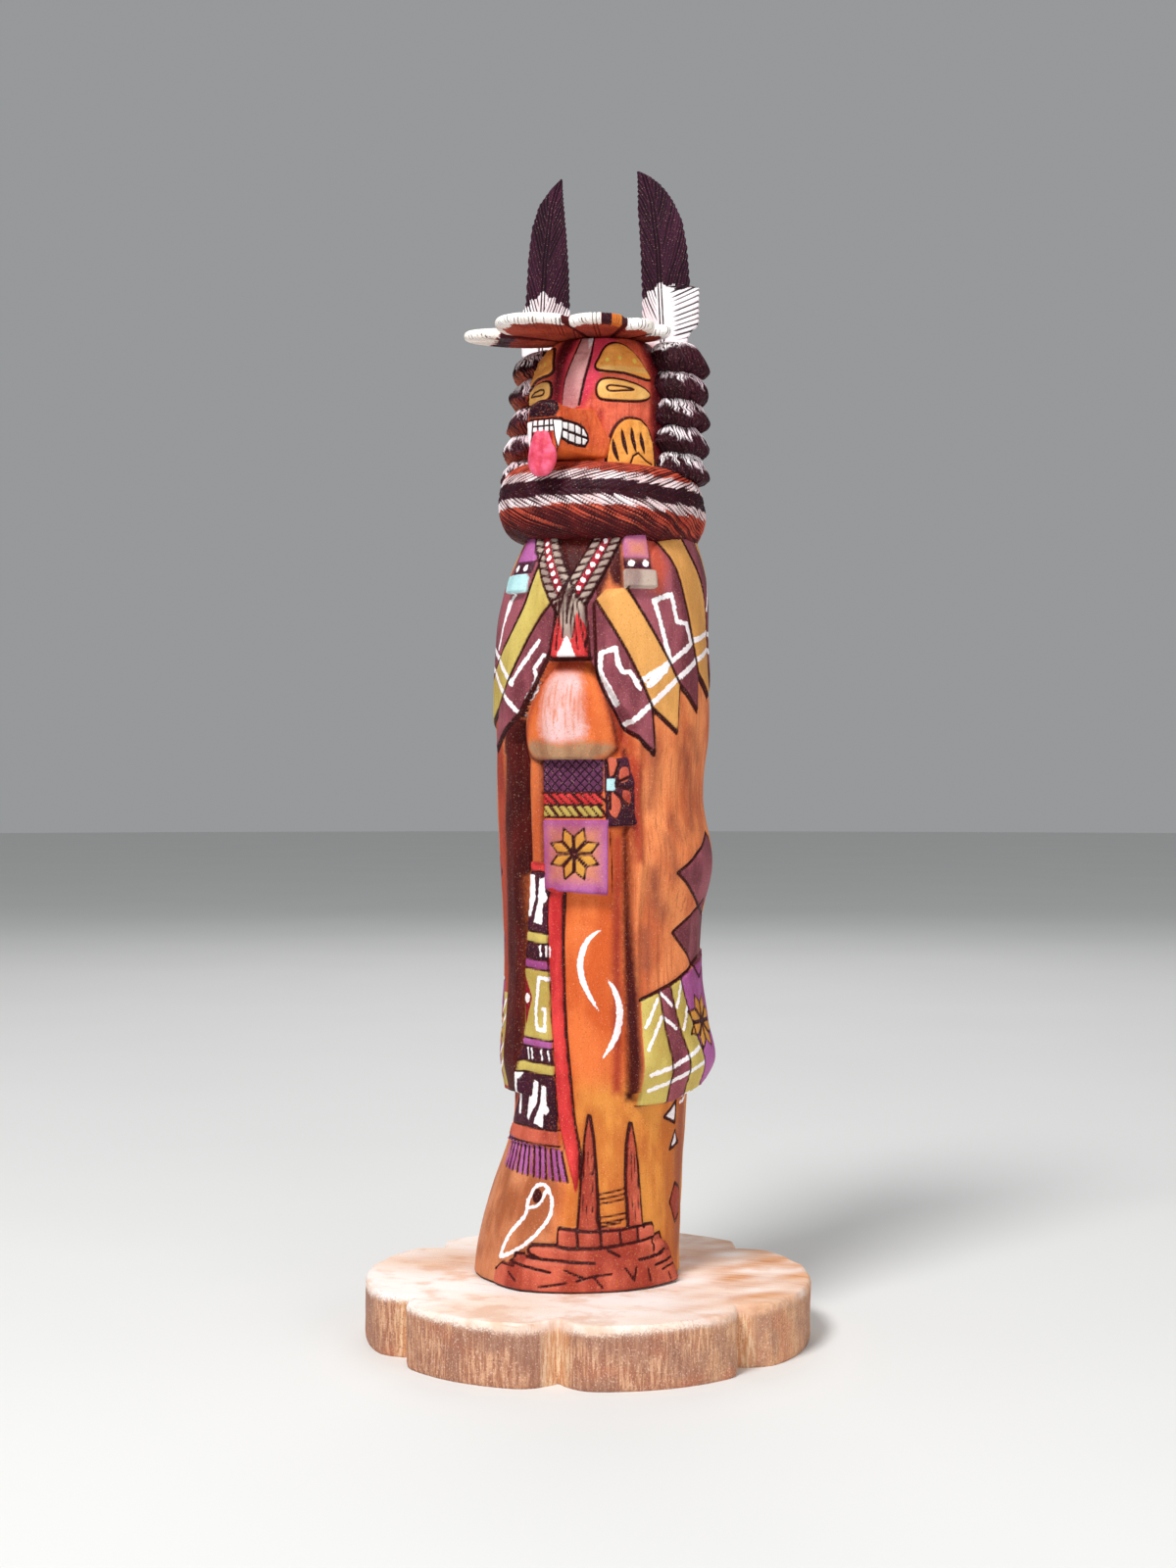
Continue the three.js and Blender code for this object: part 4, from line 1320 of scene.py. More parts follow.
        # soft stains on the robe, and painted shade down the gown's right side
        self.lines(
            Paint.SMUDGE_AND_SHADE, (3, [(47, 119), (50, 113), (55, 109)]), (1.4, [(44, 104), (45, 96)]),
            (1, [(60, 133), (66, 128)]), (1.5, [(70, 150), (78, 140), (76, 130)]),
            (1.2, [(56, 128), (62, 118)]), (6, [(88, 60), (90, 24)]),
            (2, [(76, 154), (84, 148)], [(-75, 146), (-80, 132)]),
            (4, [(150, 150), (156, 120)], [(-130, 140), (-128, 110)]))
        self.line(Paint.SMUDGE_AND_SHADE, 2, [(47, 151), (49, 144), (46, 136)], curved=True)
        self.line(Paint.BURN, 0.35, [(22.4, 131), (24, 122), (24.6, 114)])


@dataclass
class RobedBody:
    """Robe, gown, cape, belly and all that is carved and painted on them."""

    foot: float = 15.8
    neck: float = 206
    hem: float = 63.4
    hem_rise: float = 1
    opening: Point = (-40, 35)
    widest: float = 108
    robe_right: Stations = (
        (60, 24.6), (64, 25.2), (71, 26.4), (80, 25.9), (92, 25.4), (107, 25.5), (121, 26.3), (138, 27),
        (157, 27.4), (176, 26.8), (190, 24.8), (197, 22.3), (206, 18))
    robe_left: Stations = (
        (60, 24.4), (64, 25.8), (71, 28.8), (80, 27), (92, 25.4), (107, 25.8), (121, 28.6), (138, 26.2),
        (157, 27.6), (176, 26.9), (190, 26.7), (197, 25.7), (206, 22.9))
    gown_right: Stations = (
        (15, 33.2), (22, 32.2), (30, 30.6), (40, 27.4), (53, 23.2), (62, 22.4), (80, 23), (107, 22.8),
        (150, 24), (206, 20))
    gown_left: Stations = (
        (15, 20), (22, 20), (30, 20.2), (40, 20.6), (53, 21.4), (62, 22), (80, 23), (107, 22.8),
        (150, 24), (206, 22))
    belly_angle: float = -5
    belly_reach: float = 17.2
    belly_half: Triple = (13, 11, 21)
    belly_middle: float = 154
    belly_low: float = 147.6
    cape_relief: float = 0.75
    roll: float = 0.9
    fold: float = 0.45
    sunk: float = 2.4  # how far the ground is cut away at the edge of a raised form
    burnt: float = 0.28
    degree: float = 0.45  # millimetres of robe to one degree round it

    def _plan(self, right: Stations, left: Stations, angle: Array, height: Array) -> Array:
        """The plan of the body, a little flatter in front and behind.

        Args:
            right: radii on the doll's right, by height.
            left: radii on its left.
            angle: directions.
            height: heights.

        Returns:
            The radius at each place.
        """
        one, two = along(right, height), along(left, height)
        side = (one + two) / 2
        off = (angle - self.widest) * ARC
        return side * 0.965 + (two - one) / 2 * np.cos(off) + side * 0.035 * np.cos(2 * off)

    def robe(self, angle: Array, height: Array) -> Array:
        """Radius of the robe."""
        return self._plan(self.robe_right, self.robe_left, angle, height)

    def gown(self, angle: Array, height: Array) -> Array:
        """Radius of the gown under it."""
        return self._plan(self.gown_right, self.gown_left, angle, height)

    def belly(self, angle: Array, height: Array) -> Array:
        """The dome of the bare belly.

        Args:
            angle: directions.
            height: heights.

        Returns:
            Its radius, or 0 beside it.
        """
        half_wide, half_deep, half_tall = self.belly_half
        rise = np.where(height > self.belly_middle, (height - self.belly_middle) / half_tall,
                        (height - self.belly_middle) / (half_tall * 0.75))
        room = np.clip(1 - rise**2, 0, 1)
        turn = wrap(angle - self.belly_angle) * ARC
        cos, sin = np.cos(turn), np.sin(turn)
        a = (sin / half_wide) ** 2 + (cos / half_deep) ** 2
        b = -2 * cos * self.belly_reach / half_deep**2
        c = (self.belly_reach / half_deep) ** 2 - room
        root = b**2 - 4 * a * c
        reach = (-b + np.sqrt(np.maximum(root, 0))) / (2 * a)
        shown = (root > 0) & (cos > 0) & (height > self.belly_low)
        return np.where(shown, reach, 0)

    def _radius(self, angle: Array, height: Array, forms: dict[str, Array]) -> Array:
        """The carved surface with everything that stands proud of it.

        Args:
            angle: directions.
            height: heights.
            forms: distances to the outlines of what stands proud.

        Returns:
            Its radius.
        """
        cloth, gown = self.robe(angle, height), self.gown(angle, height)
        hem = self.hem + self.hem_rise * np.sin(angle * ARC)
        left, right = self.opening
        caped = step(-forms["cape"], 0, 0.3)
        open_front = step(angle, left, 1.3) * (1 - step(angle, right, 3.2))
        above = step(height, np.interp(np.abs(angle), [0, 9, 45], [173, 173, 149]), 0.4)
        robed = step(height, hem, 0.5) * (1 - open_front * (1 - above))
        robe = cloth + self.cape_relief * caped + 0.5 * above * (1 - ease(np.abs(angle), 38, 60))
        roll = self.roll * bell(angle - right, 3, 2.6) * (1 - above) * step(height, hem, 0.5)
        folds = self.fold * np.cos((angle - 20) * ARC * 9) * ease(height, 50, 90) * open_front
        radius = gown + folds + (robe + roll - gown - folds) * robed
        radius = np.maximum(radius, self.belly(angle, height))
        raised = [  # each form, what it stands on, how proud it stands and how soft its edge is
            ("strip", gown, 2.0, 0.9), ("belt", gown, 2.2, 0.35), ("ornament", gown, 1.8, 0.35),
            ("sash", gown, 1.2, 0.35), ("red_strip", gown, 1.7, 0.9), ("apron", gown, 3.4, 0.35),
            ("poles", gown, 1.0, 0.5), ("course_low", gown, 2.5 * ease(angle, -46, -20), 0.45),
            ("course_mid", gown, 1.8, 0.45), ("course_top", gown, 1.0, 0.45), ("panel", cloth, 0.6, 0.35),
            ("tassel", cloth, 2.4, 0.6), ("strings", cloth, 1.5, 0.5), ("tabs", cloth, 2.2, 0.3),
            ("blocks", cloth, 3.3, 0.4),
        ]
        for form, ground, proud, soft in raised:
            inside = ease(-forms[form], -soft, soft)
            lifted = np.maximum(radius, ground + proud * inside - self.sunk * (1 - inside))
            radius = np.where(inside > 0, lifted, radius)
        return radius

    def build(self) -> Piece:
        """Builds and paints the body.

        Returns:
            The body, dressed.
        """
        columns = spaced((-180, -84, 50), (-84, 108, 174), (108, 180, 36))
        sleeve = Sleeve("robed_body", columns, spaced((self.foot, 64, 100), (64, self.neck, 280)))
        angle, height = sleeve.places()
        canvas = RobeDesign(angle, height, self.degree)
        canvas.paint(self.opening)
        weave = canvas.distance(box_patch(-18, 18.5, 139.4, 147.4))
        radius = self._radius(angle, height, canvas.forms)
        radius = radius - self.burnt * ease(-canvas.field(Paint.BURN), -0.25, 0.15)
        fade = ease(180 - np.abs(angle), 0, 14)
        across = angle * self.degree
        radius = radius + 0.10 * fade * ripple(across, height * 0.22, 21, 3.2)
        radius = radius + 0.12 * fade * ripple(across, height * 0.4, 22, 11)
        x, y = polar(angle, radius)
        sleeve.facts = canvas.facts()
        sleeve.facts |= {"across": across, "up": height, "weave": weave}
        return sleeve.wrapped(x, y, height, self.finish())

    COATS = (
        Coat(Paint.GOWN, (228, 118, 60), (204, 90, 40), 0.6, 0.6, 0.2, 0),
        Coat(Paint.GOWN_LOW, (224, 146, 66), (196, 110, 48), 4.5, 2.5, 0.35, 0),
        Coat(Paint.FLARE, (210, 134, 92), (164, 92, 56), 3.5, 2.5, 0.45, 0),
        # the pale coat is the belly's painted highlight; the smudge, red and dark coats below carry painted
        # shade as well as stain
        Coat(Paint.PALE, (228, 190, 190), (216, 164, 154), 1.8, 2.6, 0.5, 0),
        Coat(Paint.SMUDGE_AND_SHADE, (138, 74, 56), (160, 84, 56), 3.2, 2.5, 0.6, 0),
        Coat(Paint.RED_STAIN_AND_SHADE, (178, 66, 42), (150, 48, 34), 1.6, 1.2, 0.25, 0),
        Coat(Paint.DARK_STAIN_AND_SHADE, (62, 10, 12), (84, 18, 16), 1.0, 0.8, 0.08, 0),
        Coat(Paint.STREAK, (216, 128, 88), (206, 108, 72), 0.35, 0.5, 0.6, -0.1),
        Coat(Paint.BRICK, (204, 98, 76), (158, 58, 44), 0.2, 0.3, 0.6, 0.05),
        Coat(Paint.MAROON, (156, 82, 94), (110, 50, 62)),
        Coat(Paint.RUST, (196, 84, 62), (170, 62, 48), 2.2, 1.4, 0.3, 0),
        Coat(Paint.OCHRE, (230, 166, 92), (206, 146, 78)),
        Coat(Paint.OLIVE, (206, 184, 100), (180, 154, 76)),
        Coat(Paint.INK, (64, 22, 44), (46, 10, 28)),
        Coat(Paint.PURPLE, (178, 98, 160), (150, 66, 124)),
        Coat(Paint.ROSE, (208, 130, 104), (176, 96, 90), 2.2, 1.4, 0.4, 0),
        Coat(Paint.GREY, (186, 166, 152), (146, 122, 116)),
        Coat(Paint.TURQUOISE, (184, 224, 226), (156, 202, 206)),
        Coat(Paint.RED, (226, 66, 66), (188, 40, 44)),
        Coat(Paint.CRIMSON, (176, 20, 46), (130, 10, 32)),
        # the tan coat is the belly's rim here, its darker colour partly painted shade
        Coat(Paint.TAN, (176, 138, 104), (138, 92, 66), 1.2, 1.6, 0.7, 0.1),
        Coat(Paint.PETAL, (214, 154, 66), (196, 128, 50), 0.14, 0.15, 0.2, 0.1),
        Coat(Paint.WHITE, (255, 252, 252), (248, 236, 238), 0.12, 0.95, 0.15, 0.6),
        Coat(Paint.BURN, (44, 4, 10), (60, 8, 10), 0.16, 0.22, 0.05, -0.5),
    )

    def finish(self) -> Material:
        """Robe stain, ground stains, painted shade and a painted highlight, paints and burnt lines."""
        return PaintedWood(
            "robe_and_gown", (238, 144, 88), (202, 102, 60), (140, 62, 42), self.COATS, woven=True).made()


# ---- Fur ruff ----
def furrow(phase: Array, seed: int, width: float = 0.17) -> Array:
    """Depth, 0 to 1, of V cuts side by side, each of its own depth and a little off its place.

    Args:
        phase: place across the cuts, one whole number from one to the next.
        seed: which of the hand-cut patterns.
        width: half width of a cut, as a share of the spacing.

    Returns:
        How deep the cut is at each place.
    """
    rng = np.random.default_rng(seed)
    depths, shifts = rng.uniform(0.55, 1, 997), rng.uniform(-0.16, 0.16, 997)
    strand = np.floor(phase).astype(int) % 997
    return depths[strand] * bell(phase - np.floor(phase) - 0.5, shifts[strand], width)


def by_strand(phase: Array, seed: int, low: float, high: float) -> Array:
    """A seeded value between low and high that stays the same along each strand."""
    return np.random.default_rng(seed).uniform(low, high, 997)[np.floor(phase).astype(int) % 997]


@dataclass
class FurRuff:
    """The ruff of fur round the neck, cut in slanting furrows that meet as a herringbone."""

    low: float = 202.4
    high: float = 222.4
    radius: float = 26.9
    core: float = 16
    tilt: float = 1.3
    pitch: float = 2.3
    ridge: float = 214.6

    def build(self) -> Piece:
        """Builds the ring with its furrows.

        Returns:
            The ruff, dressed.
        """
        sleeve = Sleeve(
            "fur_ruff", spaced((-180, -95, 150), (-95, 125, 460), (125, 180, 96)), spaced((-96, 96, 108)))
        angle, turn = sleeve.places()
        middle, half = (self.low + self.high) / 2, (self.high - self.low) / 2
        side = np.clip(turn, -90, 90) * ARC
        swell = (self.radius - self.core) * np.maximum(0, np.cos(side)) ** 0.55
        inner = np.clip((np.abs(turn) - 90) / 6, 0, 1)
        radius = (self.core + swell) * (1 - inner * 0.5)
        height = middle + half * np.sin(side)
        arc = angle * ARC * self.radius
        upper = height > self.ridge
        rise = np.where(upper, height - self.ridge, self.ridge - height)
        inward = np.maximum(0, self.radius - radius)
        slant = -2.0 * (rise + 0.8 * inward)
        phase = (arc + slant + 0.7 * ripple(arc, height, 31, 14)) / self.pitch
        cut = furrow(np.abs(phase + 400), 5, 0.26) * ease(self.radius - radius, 12, 8)
        thread = np.abs(2.6 * phase + 400)
        fine = furrow(thread, 7, 0.24) * (0.62 + 0.3 * ripple(arc, height, 38, 5))
        cut = np.clip(np.maximum(cut, fine) * (0.95 + 0.2 * ripple(arc, height, 33, 6)), 0, 1)
        spine = bell(height, self.ridge, 0.35)
        uneven = 0.35 * ease(180 - np.abs(angle), 0, 14) * ripple(arc * 0.6, height, 35, 9)
        radius = radius - 0.5 * cut - 0.25 * spine + uneven
        strand = by_strand(np.abs(phase + 400), 6, -0.4, 0.4) + by_strand(thread, 10, -0.35, 0.35)
        level = height + strand - 0.9 * bell(angle, 18, 32)
        x, y = polar(angle, radius)
        bands = np.minimum(np.abs(level - 217.6) - 1.15, np.abs(level - 211.4) - 1.25)
        # painted shade: darker towards the ruff's underside and its lower edge, less on its right
        shade = (height - 208.4) * 0.7 + by_strand(thread, 9, -3.5, 3) + 4 * ease(angle, 45, 80)
        sleeve.facts = {
            Paint.WHITE.value: np.maximum(bands, -2),
            Paint.INK.value: np.abs(level - 214.5) - 2.1,
            Paint.DARK_STAIN_AND_SHADE.value: np.minimum(shade, (height - 205.4) * 1.5),
            Paint.RED_STAIN_AND_SHADE.value: by_strand(thread, 8, -2, 1.2) + ripple(arc, height, 37, 12),
            "furrow": cut,
        }
        return sleeve.wrapped(x, y, height - self.tilt * x / self.radius, self.finish())

    COATS = (
        Coat(Paint.RED_STAIN_AND_SHADE, (206, 84, 60), (180, 62, 44), 1.2, 0.8, 0.3, 0),
        Coat(Paint.DARK_STAIN_AND_SHADE, (102, 22, 24), (74, 10, 18), 1.4, 0.8, 0.15, 0),
        Coat(Paint.WHITE, (255, 238, 240), (240, 208, 208), 0.2, 0.5, 0.25, 0.3),
        Coat(Paint.INK, (52, 14, 36), (34, 8, 24), 0.2, 0.5, 0.15, 0.1),
    )

    def finish(self) -> Material:
        """Fox-brown fur with a dark band between two white ones, dark in its cuts, with painted shade on its
        underside.
        """
        return PaintedWood(
            "painted_fur", (222, 106, 76), (180, 68, 46), (140, 42, 34), self.COATS, groove=True).made()


# ---- Head ----
@dataclass
class MaskHead:
    """The mask: a domed head with its carved and painted face."""

    turn: float = -8
    radius: float = 18.3
    top: float = 254.4
    shoulder: float = 240
    dome: float = 20
    low: float = 208
    relief: float = 0.55
    burnt: float = 0.25
    degree: float = 0.32

    def ground(self, height: Array) -> Array:
        """Radius of the bare mask."""
        rise = np.clip((height - self.shoulder) / self.dome, 0, 1)
        return self.radius * np.sqrt(1 - rise**2)

    def face(self, canvas: Canvas) -> Array:
        """Paints the face: nose stripe, crimson panels, brows, eyes and cheeks, with painted shade on the
        left, beside the hair and in the crease by the snout.

        Args:
            canvas: the mask laid out flat.

        Returns:
            Distances of what stands proud of the mask.
        """
        canvas.fill(
            Paint.CRIMSON, [(-2, 258), (36, 258), (31, 252), (20, 246), (10, 240), (1, 235), (-1, 236)],
            [(-6, 258), (-34, 258), (-30, 250), (-27, 244), (-27, 236), (-16, 236)])
        stripe = Patch(
            [(-6, 258), (9, 258), (7.5, 250), (3, 243), (-1, 236.5), (-8, 234.5), (-16, 236.5), (-14, 243),
             (-8, 250)])
        canvas.lay(Paint.GREY, stripe)
        canvas.line(
            Paint.BURN, 0.55, [(9, 258), (8, 250), (3.5, 243), (-0.5, 236.5)],
            [(-6, 258), (-8, 250), (-13.5, 243), (-16, 236.5)], curved=True)
        canvas.fill(Paint.WHITE, [(-1, 258), (10, 258), (8.5, 253), (5, 251)])
        arch = [
            (13, 245.6), (15.5, 249), (21, 251.8), (30, 253), (41, 252.4), (50, 250), (56, 246.8),
            (59.5, 243.4), (36, 244.6)]
        brows = [Patch(arch, True), Patch([(-15.5 - a, z) for a, z in arch], True)]
        eyes = [
            Patch([(13, 240.2), (15, 242.3), (22, 243.2), (36, 242.8), (52, 241.4), (59, 239.8), (56, 238.4),
                   (44, 237.6), (22, 237.6), (15, 238.3)],
                  True),
            Patch([(-28, 241), (-31, 243.4), (-44, 243.6), (-64, 242.4), (-73, 240.4), (-68, 238.8),
                   (-50, 238.4), (-32, 238.6)],
                  True)]
        bow = [
            (20.5, 218), (20.6, 222), (22.5, 226.4), (27, 230.4), (34, 232.8), (43, 233.4), (52, 232.6),
            (59, 230), (63, 225), (64, 218)]
        cheeks = [Patch(bow, True), Patch([(-16 - a, z) for a, z in bow], True)]
        canvas.lay(Paint.OCHRE, *brows, *cheeks)
        canvas.lay(Paint.TAN, *eyes)
        canvas.block(Paint.TAN, (16, 56, 244.8, 246.4))
        # painted shade over the left crimson panel and in the gap by the hair on the right
        canvas.fill(
            Paint.DARK_STAIN_AND_SHADE,
            [(-10, 258), (-34, 258), (-30, 250), (-27, 244), (-27, 236), (-20, 236), (-16, 246)])
        canvas.block(Paint.DARK_STAIN_AND_SHADE, (62, 90, 218, 256))
        canvas.line(Paint.BURN, 0.62, *[patch.points for patch in (*brows, *eyes)], curved=True, closed=True)
        canvas.line(Paint.BURN, 0.75, *[cheek.points for cheek in cheeks], curved=True)
        slit = [(21.5, 240.7), (24, 241.3), (34, 241.1), (43, 240.5), (34, 240.1), (24, 239.9)]
        canvas.line(
            Paint.BURN, 0.5, slit, [(-10 - 1.15 * a, z + 0.3) for a, z in slit], curved=True, closed=True)
        canvas.lay(
            Paint.PALE, Dot((22, 248), 0.55), Dot((33, 248.6), 0.55), Dot((46, 248), 0.6),
            Dot((-40, 248.4), 0.55), Dot((-50, 248.4), 0.55), Dot((-62, 247.6), 0.55))
        marks = [
            [(26, 228), (27.5, 225), (31, 222)], [(33, 230.6), (35, 227), (38, 223.8)],
            [(41, 231.2), (42.5, 227.8), (45.5, 224.6)], [(49, 230), (50.5, 227), (53, 224.4)]]
        marks += [[(-16 - a, z) for a, z in mark] for mark in marks]
        canvas.line(Paint.BURN, 1.1, *marks, curved=True, tapered=True)
        canvas.fill(Paint.RED_STAIN_AND_SHADE, [(40, 220), (42, 223.6), (47, 224.6), (54, 223), (60, 220)])
        canvas.line(Paint.BURN, 0.5, [(39, 220.6), (42.5, 223.8), (47, 224.6), (54, 222.8), (60, 222)])
        canvas.fill(Paint.GOWN_LOW, [(-30, 219), (10, 219), (17, 224), (12, 228), (-10, 229), (-30, 226)])
        # painted shade in the crease beside the snout and along the hair on both sides
        canvas.lines(
            Paint.RED_STAIN_AND_SHADE, (1.3, [(17, 234.5), (14, 230), (10, 225), (9, 221)]),
            (1.0, [(12, 233), (10, 228), (6, 224)]), curved=True)
        canvas.block(Paint.RED_STAIN_AND_SHADE, (-90, -62, 218, 250), (59, 66, 218, 256))
        ridge = Patch([(-16, 236), (-8, 234.6), (0, 236), (4, 243), (8, 250), (-7, 250), (-13, 243)])
        return canvas.distance(*brows, *eyes, *cheeks, ridge)

    def build(self) -> Piece:
        """Builds the mask.

        Returns:
            The mask, dressed.
        """
        sleeve = Sleeve(
            "mask_head", spaced((-180, -96, 50), (-96, 96, 250), (96, 180, 50)),
            spaced((self.low, self.top, 150)))
        angle, height = sleeve.places()
        canvas = Canvas(angle, height, self.radius * ARC)
        proud = self.face(canvas)
        turn = wrap(angle - self.turn)
        socket = np.exp(-(((np.abs(turn) - 17) / 8) ** 2) - ((height - 241) / 6) ** 2)
        crease = bell(angle, np.interp(height, [220, 236], [8, 17]), 2.6)
        crease = crease * ease(height, 219, 223) * (1 - ease(height, 232, 237))
        radius = self.ground(height) + self.relief * ease(-proud, -0.2, 0.35)
        radius = radius - self.relief * socket - 0.6 * crease
        radius = radius - self.burnt * ease(-canvas.field(Paint.BURN), -0.2, 0.12)
        across = angle * self.degree
        radius = radius + 0.10 * ripple(across, height, 41, 4) + 0.07 * ripple(across, height, 42, 1.6)
        x, y = polar(angle, radius)
        sleeve.facts = canvas.facts()
        return sleeve.wrapped(x, y, height, self.finish())

    COATS = (
        Coat(Paint.GOWN_LOW, (216, 120, 44), (190, 84, 30), 2.4, 1.6, 0.2, 0),
        # on the mask the red coat is mostly painted shade and the dark coat painted shade
        Coat(Paint.RED_STAIN_AND_SHADE, (186, 58, 44), (150, 38, 32), 1.0, 0.8, 0.2, 0),
        Coat(Paint.CRIMSON, (222, 66, 92), (184, 32, 60), 1.4, 0.8, 0.3, 0.05),
        Coat(Paint.DARK_STAIN_AND_SHADE, (96, 8, 22), (74, 4, 16), 1.8, 0.8, 0.1, 0),
        Coat(Paint.GREY, (212, 154, 152), (184, 122, 124), 0.14, 0.2, 0.4, 0.15),
        Coat(Paint.OCHRE, (240, 164, 78), (224, 142, 62), 0.12, 0.15, 0.2, 0.1),
        Coat(Paint.TAN, (240, 190, 112), (226, 166, 88), 0.4, 0.3, 0.2, 0.1),
        Coat(Paint.PALE, (232, 206, 90), (224, 190, 80), 0.1, 0.1, 0.1, 0.2),
        Coat(Paint.WHITE, (252, 240, 240), (236, 214, 214), 0.3, 0.6, 0.3, 0.2),
        Coat(Paint.BURN, (46, 6, 14), (62, 12, 14), 0.12, 0.14, 0.05, -0.5),
    )

    def finish(self) -> Material:
        """Orange mask stain with ochre, crimson and a grey-rose nose stripe, and painted shade."""
        return PaintedWood("mask_paint", (222, 104, 76), (194, 74, 50), (156, 46, 38), self.COATS).made()


@dataclass
class Muzzle:
    """The snout with its nose, bared teeth and fangs, and the tongue that lolls out of it."""

    turn: float = -11
    root: float = 9
    reach: float = 30.8
    tip_half: float = 4.9
    root_half: float = 9.2
    low: float = 221.5
    high: float = 237.6
    taper: float = 3.4
    tongue_turn: float = -12
    tongue_middle: float = 223.3
    tongue_half: Triple = (3.9, 1.9, 6.0)

    def teeth(self, canvas: Canvas) -> Array:
        """Paints the mouth round the snout: front teeth, fangs, two rows at the side, nose and lips.

        Args:
            canvas: the snout's outside laid out flat, 0 at the middle of its tip.

        Returns:
            Distances of the teeth.
        """
        front = Patch([(-3, 231.2), (3.4, 231.2), (3.2, 228.4), (-2.8, 228.4)])
        fangs = [Patch([(2.9, 231.2), (5.3, 231), (5.1, 228), (4, 223.6), (3.4, 227)]),
                 Patch([(-4.9, 231.2), (-2.7, 231.2), (-3.1, 227), (-3.9, 222.5), (-4.7, 227)])]
        canvas.lay(Paint.WHITE, front, *fangs)
        canvas.lines(
            Paint.BURN, (0.46, *[[(s, 231.2), (s, 228.4)] for s in (-1.4, 0.4, 1.9)]),
            (0.44, [(-2.7, 229.7), (3, 229.7)]), (0.5, [(-5.3, 231.6), (5.4, 231.5), (6.6, 231)]))
        canvas.line(Paint.BURN, 0.36, *[fang.points for fang in fangs], closed=True)
        row = [
            (5.4, 230.9), (8, 231), (12, 230.7), (15, 229.9), (16.6, 228.4), (16.8, 226.8), (15.6, 225.5),
            (12, 225.5), (8, 226), (5.6, 226.6)]
        for side in (1, -1):
            canvas.outlined(Paint.WHITE, [(s * side, z) for s, z in row], 0.75)
            canvas.line(Paint.BURN, 0.7, [(5.6 * side, 228.8), (16.6 * side, 227.5)])
            canvas.line(
                Paint.BURN, 0.66, *[[(s * side, 230.7), ((s + 0.3) * side, 225.6)] for s in (8, 11, 13.8)])
            canvas.fill(
                Paint.GOWN_LOW, [(5 * side, 225), (24 * side, 225.4), (24 * side, 218), (5 * side, 218)])
        canvas.fill(
            Paint.INK, [(-4.2, 232), (3.6, 232), (4.4, 234), (3.8, 237), (0, 241), (-4, 237), (-4.6, 234)])
        canvas.fill(Paint.RED_STAIN_AND_SHADE, [(-4.4, 228.4), (2.9, 228.4), (2.7, 222), (-4, 222)])
        return canvas.distance(front, *fangs)

    def snout(self) -> Piece:
        """Builds the snout.

        Returns:
            The snout, dressed.
        """
        sleeve = Sleeve("snout", spaced((-180, 180, 220)), spaced((0, 1, 110), (1, 2, 60)))
        around, part = sleeve.places()
        forward = np.clip(part, 0, 1)
        cap = np.clip(part - 1, 0, 1)
        scale = 1 - cap
        share = (self.root + (self.reach - self.root) * forward - 10) / (self.reach - 10)
        across, up = np.sin(around * ARC), np.cos(around * ARC)
        square = np.maximum(np.abs(across), np.abs(up))
        full = 1 / (1 + (square - 1) * 0.62)
        past_face = np.clip(self.root + (self.reach - self.root) * forward - 16.5, 0, 20)
        flare = 3.2 * np.exp(-past_face / 2.6) * ease(-up, -0.7, 0.7)
        half = (self.root_half + (self.tip_half - self.root_half) * share + flare) * full
        tall = (self.high - self.low - self.taper * share) / 2 * full * 0.98
        middle = (self.high + self.low) / 2
        rounded = 1.5 * (1 - np.sqrt(np.clip(1 - (np.clip((scale - 0.62) / 0.38, 0, 1)) ** 2, 0, 1)))
        set_back = np.where(part > 1, rounded, 1.5 * ease(part, 0.9, 1.0) ** 3)
        reach = self.root + (self.reach - self.root - 0.3) * forward - set_back
        side = across * half * scale
        height = middle + up * tall * scale
        lump = ease(up * scale, 0.3, 0.9) * ease(
            reach, self.reach - 6, self.reach - 2) * np.exp(-((side / 3.4) ** 4))
        height = height + 1.1 * lump
        unrolled = np.sign(side) * (np.abs(side) + np.maximum(0, self.reach - 1 - reach))
        canvas = Canvas(unrolled, height, 1)
        teeth = self.teeth(canvas)
        press = 0.3 * ease(-teeth, -0.3, 0.3) - 0.3 * ease(-canvas.field(Paint.BURN), -0.2, 0.12) + 0.5 * lump
        press = press + 0.08 * ripple(unrolled, height, 51, 2.4)
        front = ease(part, 0.98, 1.25)
        reach = np.minimum(reach + press * front, self.reach + 0.3)
        side = side + np.sign(across) * press * (1 - front) * np.abs(across)
        brow = 1.4 * bell(forward, 0.62, 0.3) * ease(up, 0.3, 1.0) * (1 - cap)
        height = height - brow
        x, y = turned_about(side, -reach, self.turn)
        sleeve.facts = canvas.facts()
        return sleeve.wrapped(x, y, height, self.finish())

    COATS = (
        Coat(Paint.GOWN_LOW, (220, 104, 48), (184, 64, 30), 1.4, 1.2, 0.2, 0),
        Coat(Paint.RED_STAIN_AND_SHADE, (150, 34, 34), (124, 20, 26), 0.5, 0.3, 0.1, 0),
        Coat(Paint.INK, (36, 6, 20), (24, 4, 14), 0.3, 0.4, 0.3, 0.1),
        Coat(Paint.WHITE, (255, 250, 250), (244, 228, 230), 0.1, 0.12, 0.08, 0.3),
        Coat(Paint.BURN, (40, 6, 16), (54, 10, 16), 0.1, 0.1, 0.05, -0.5),
    )

    def finish(self) -> Material:
        """Orange snout, white teeth, black nose."""
        return PaintedWood(
            "snout_paint", (232, 118, 70), (206, 86, 46), (164, 50, 36), self.COATS, gloss=0.42).made()

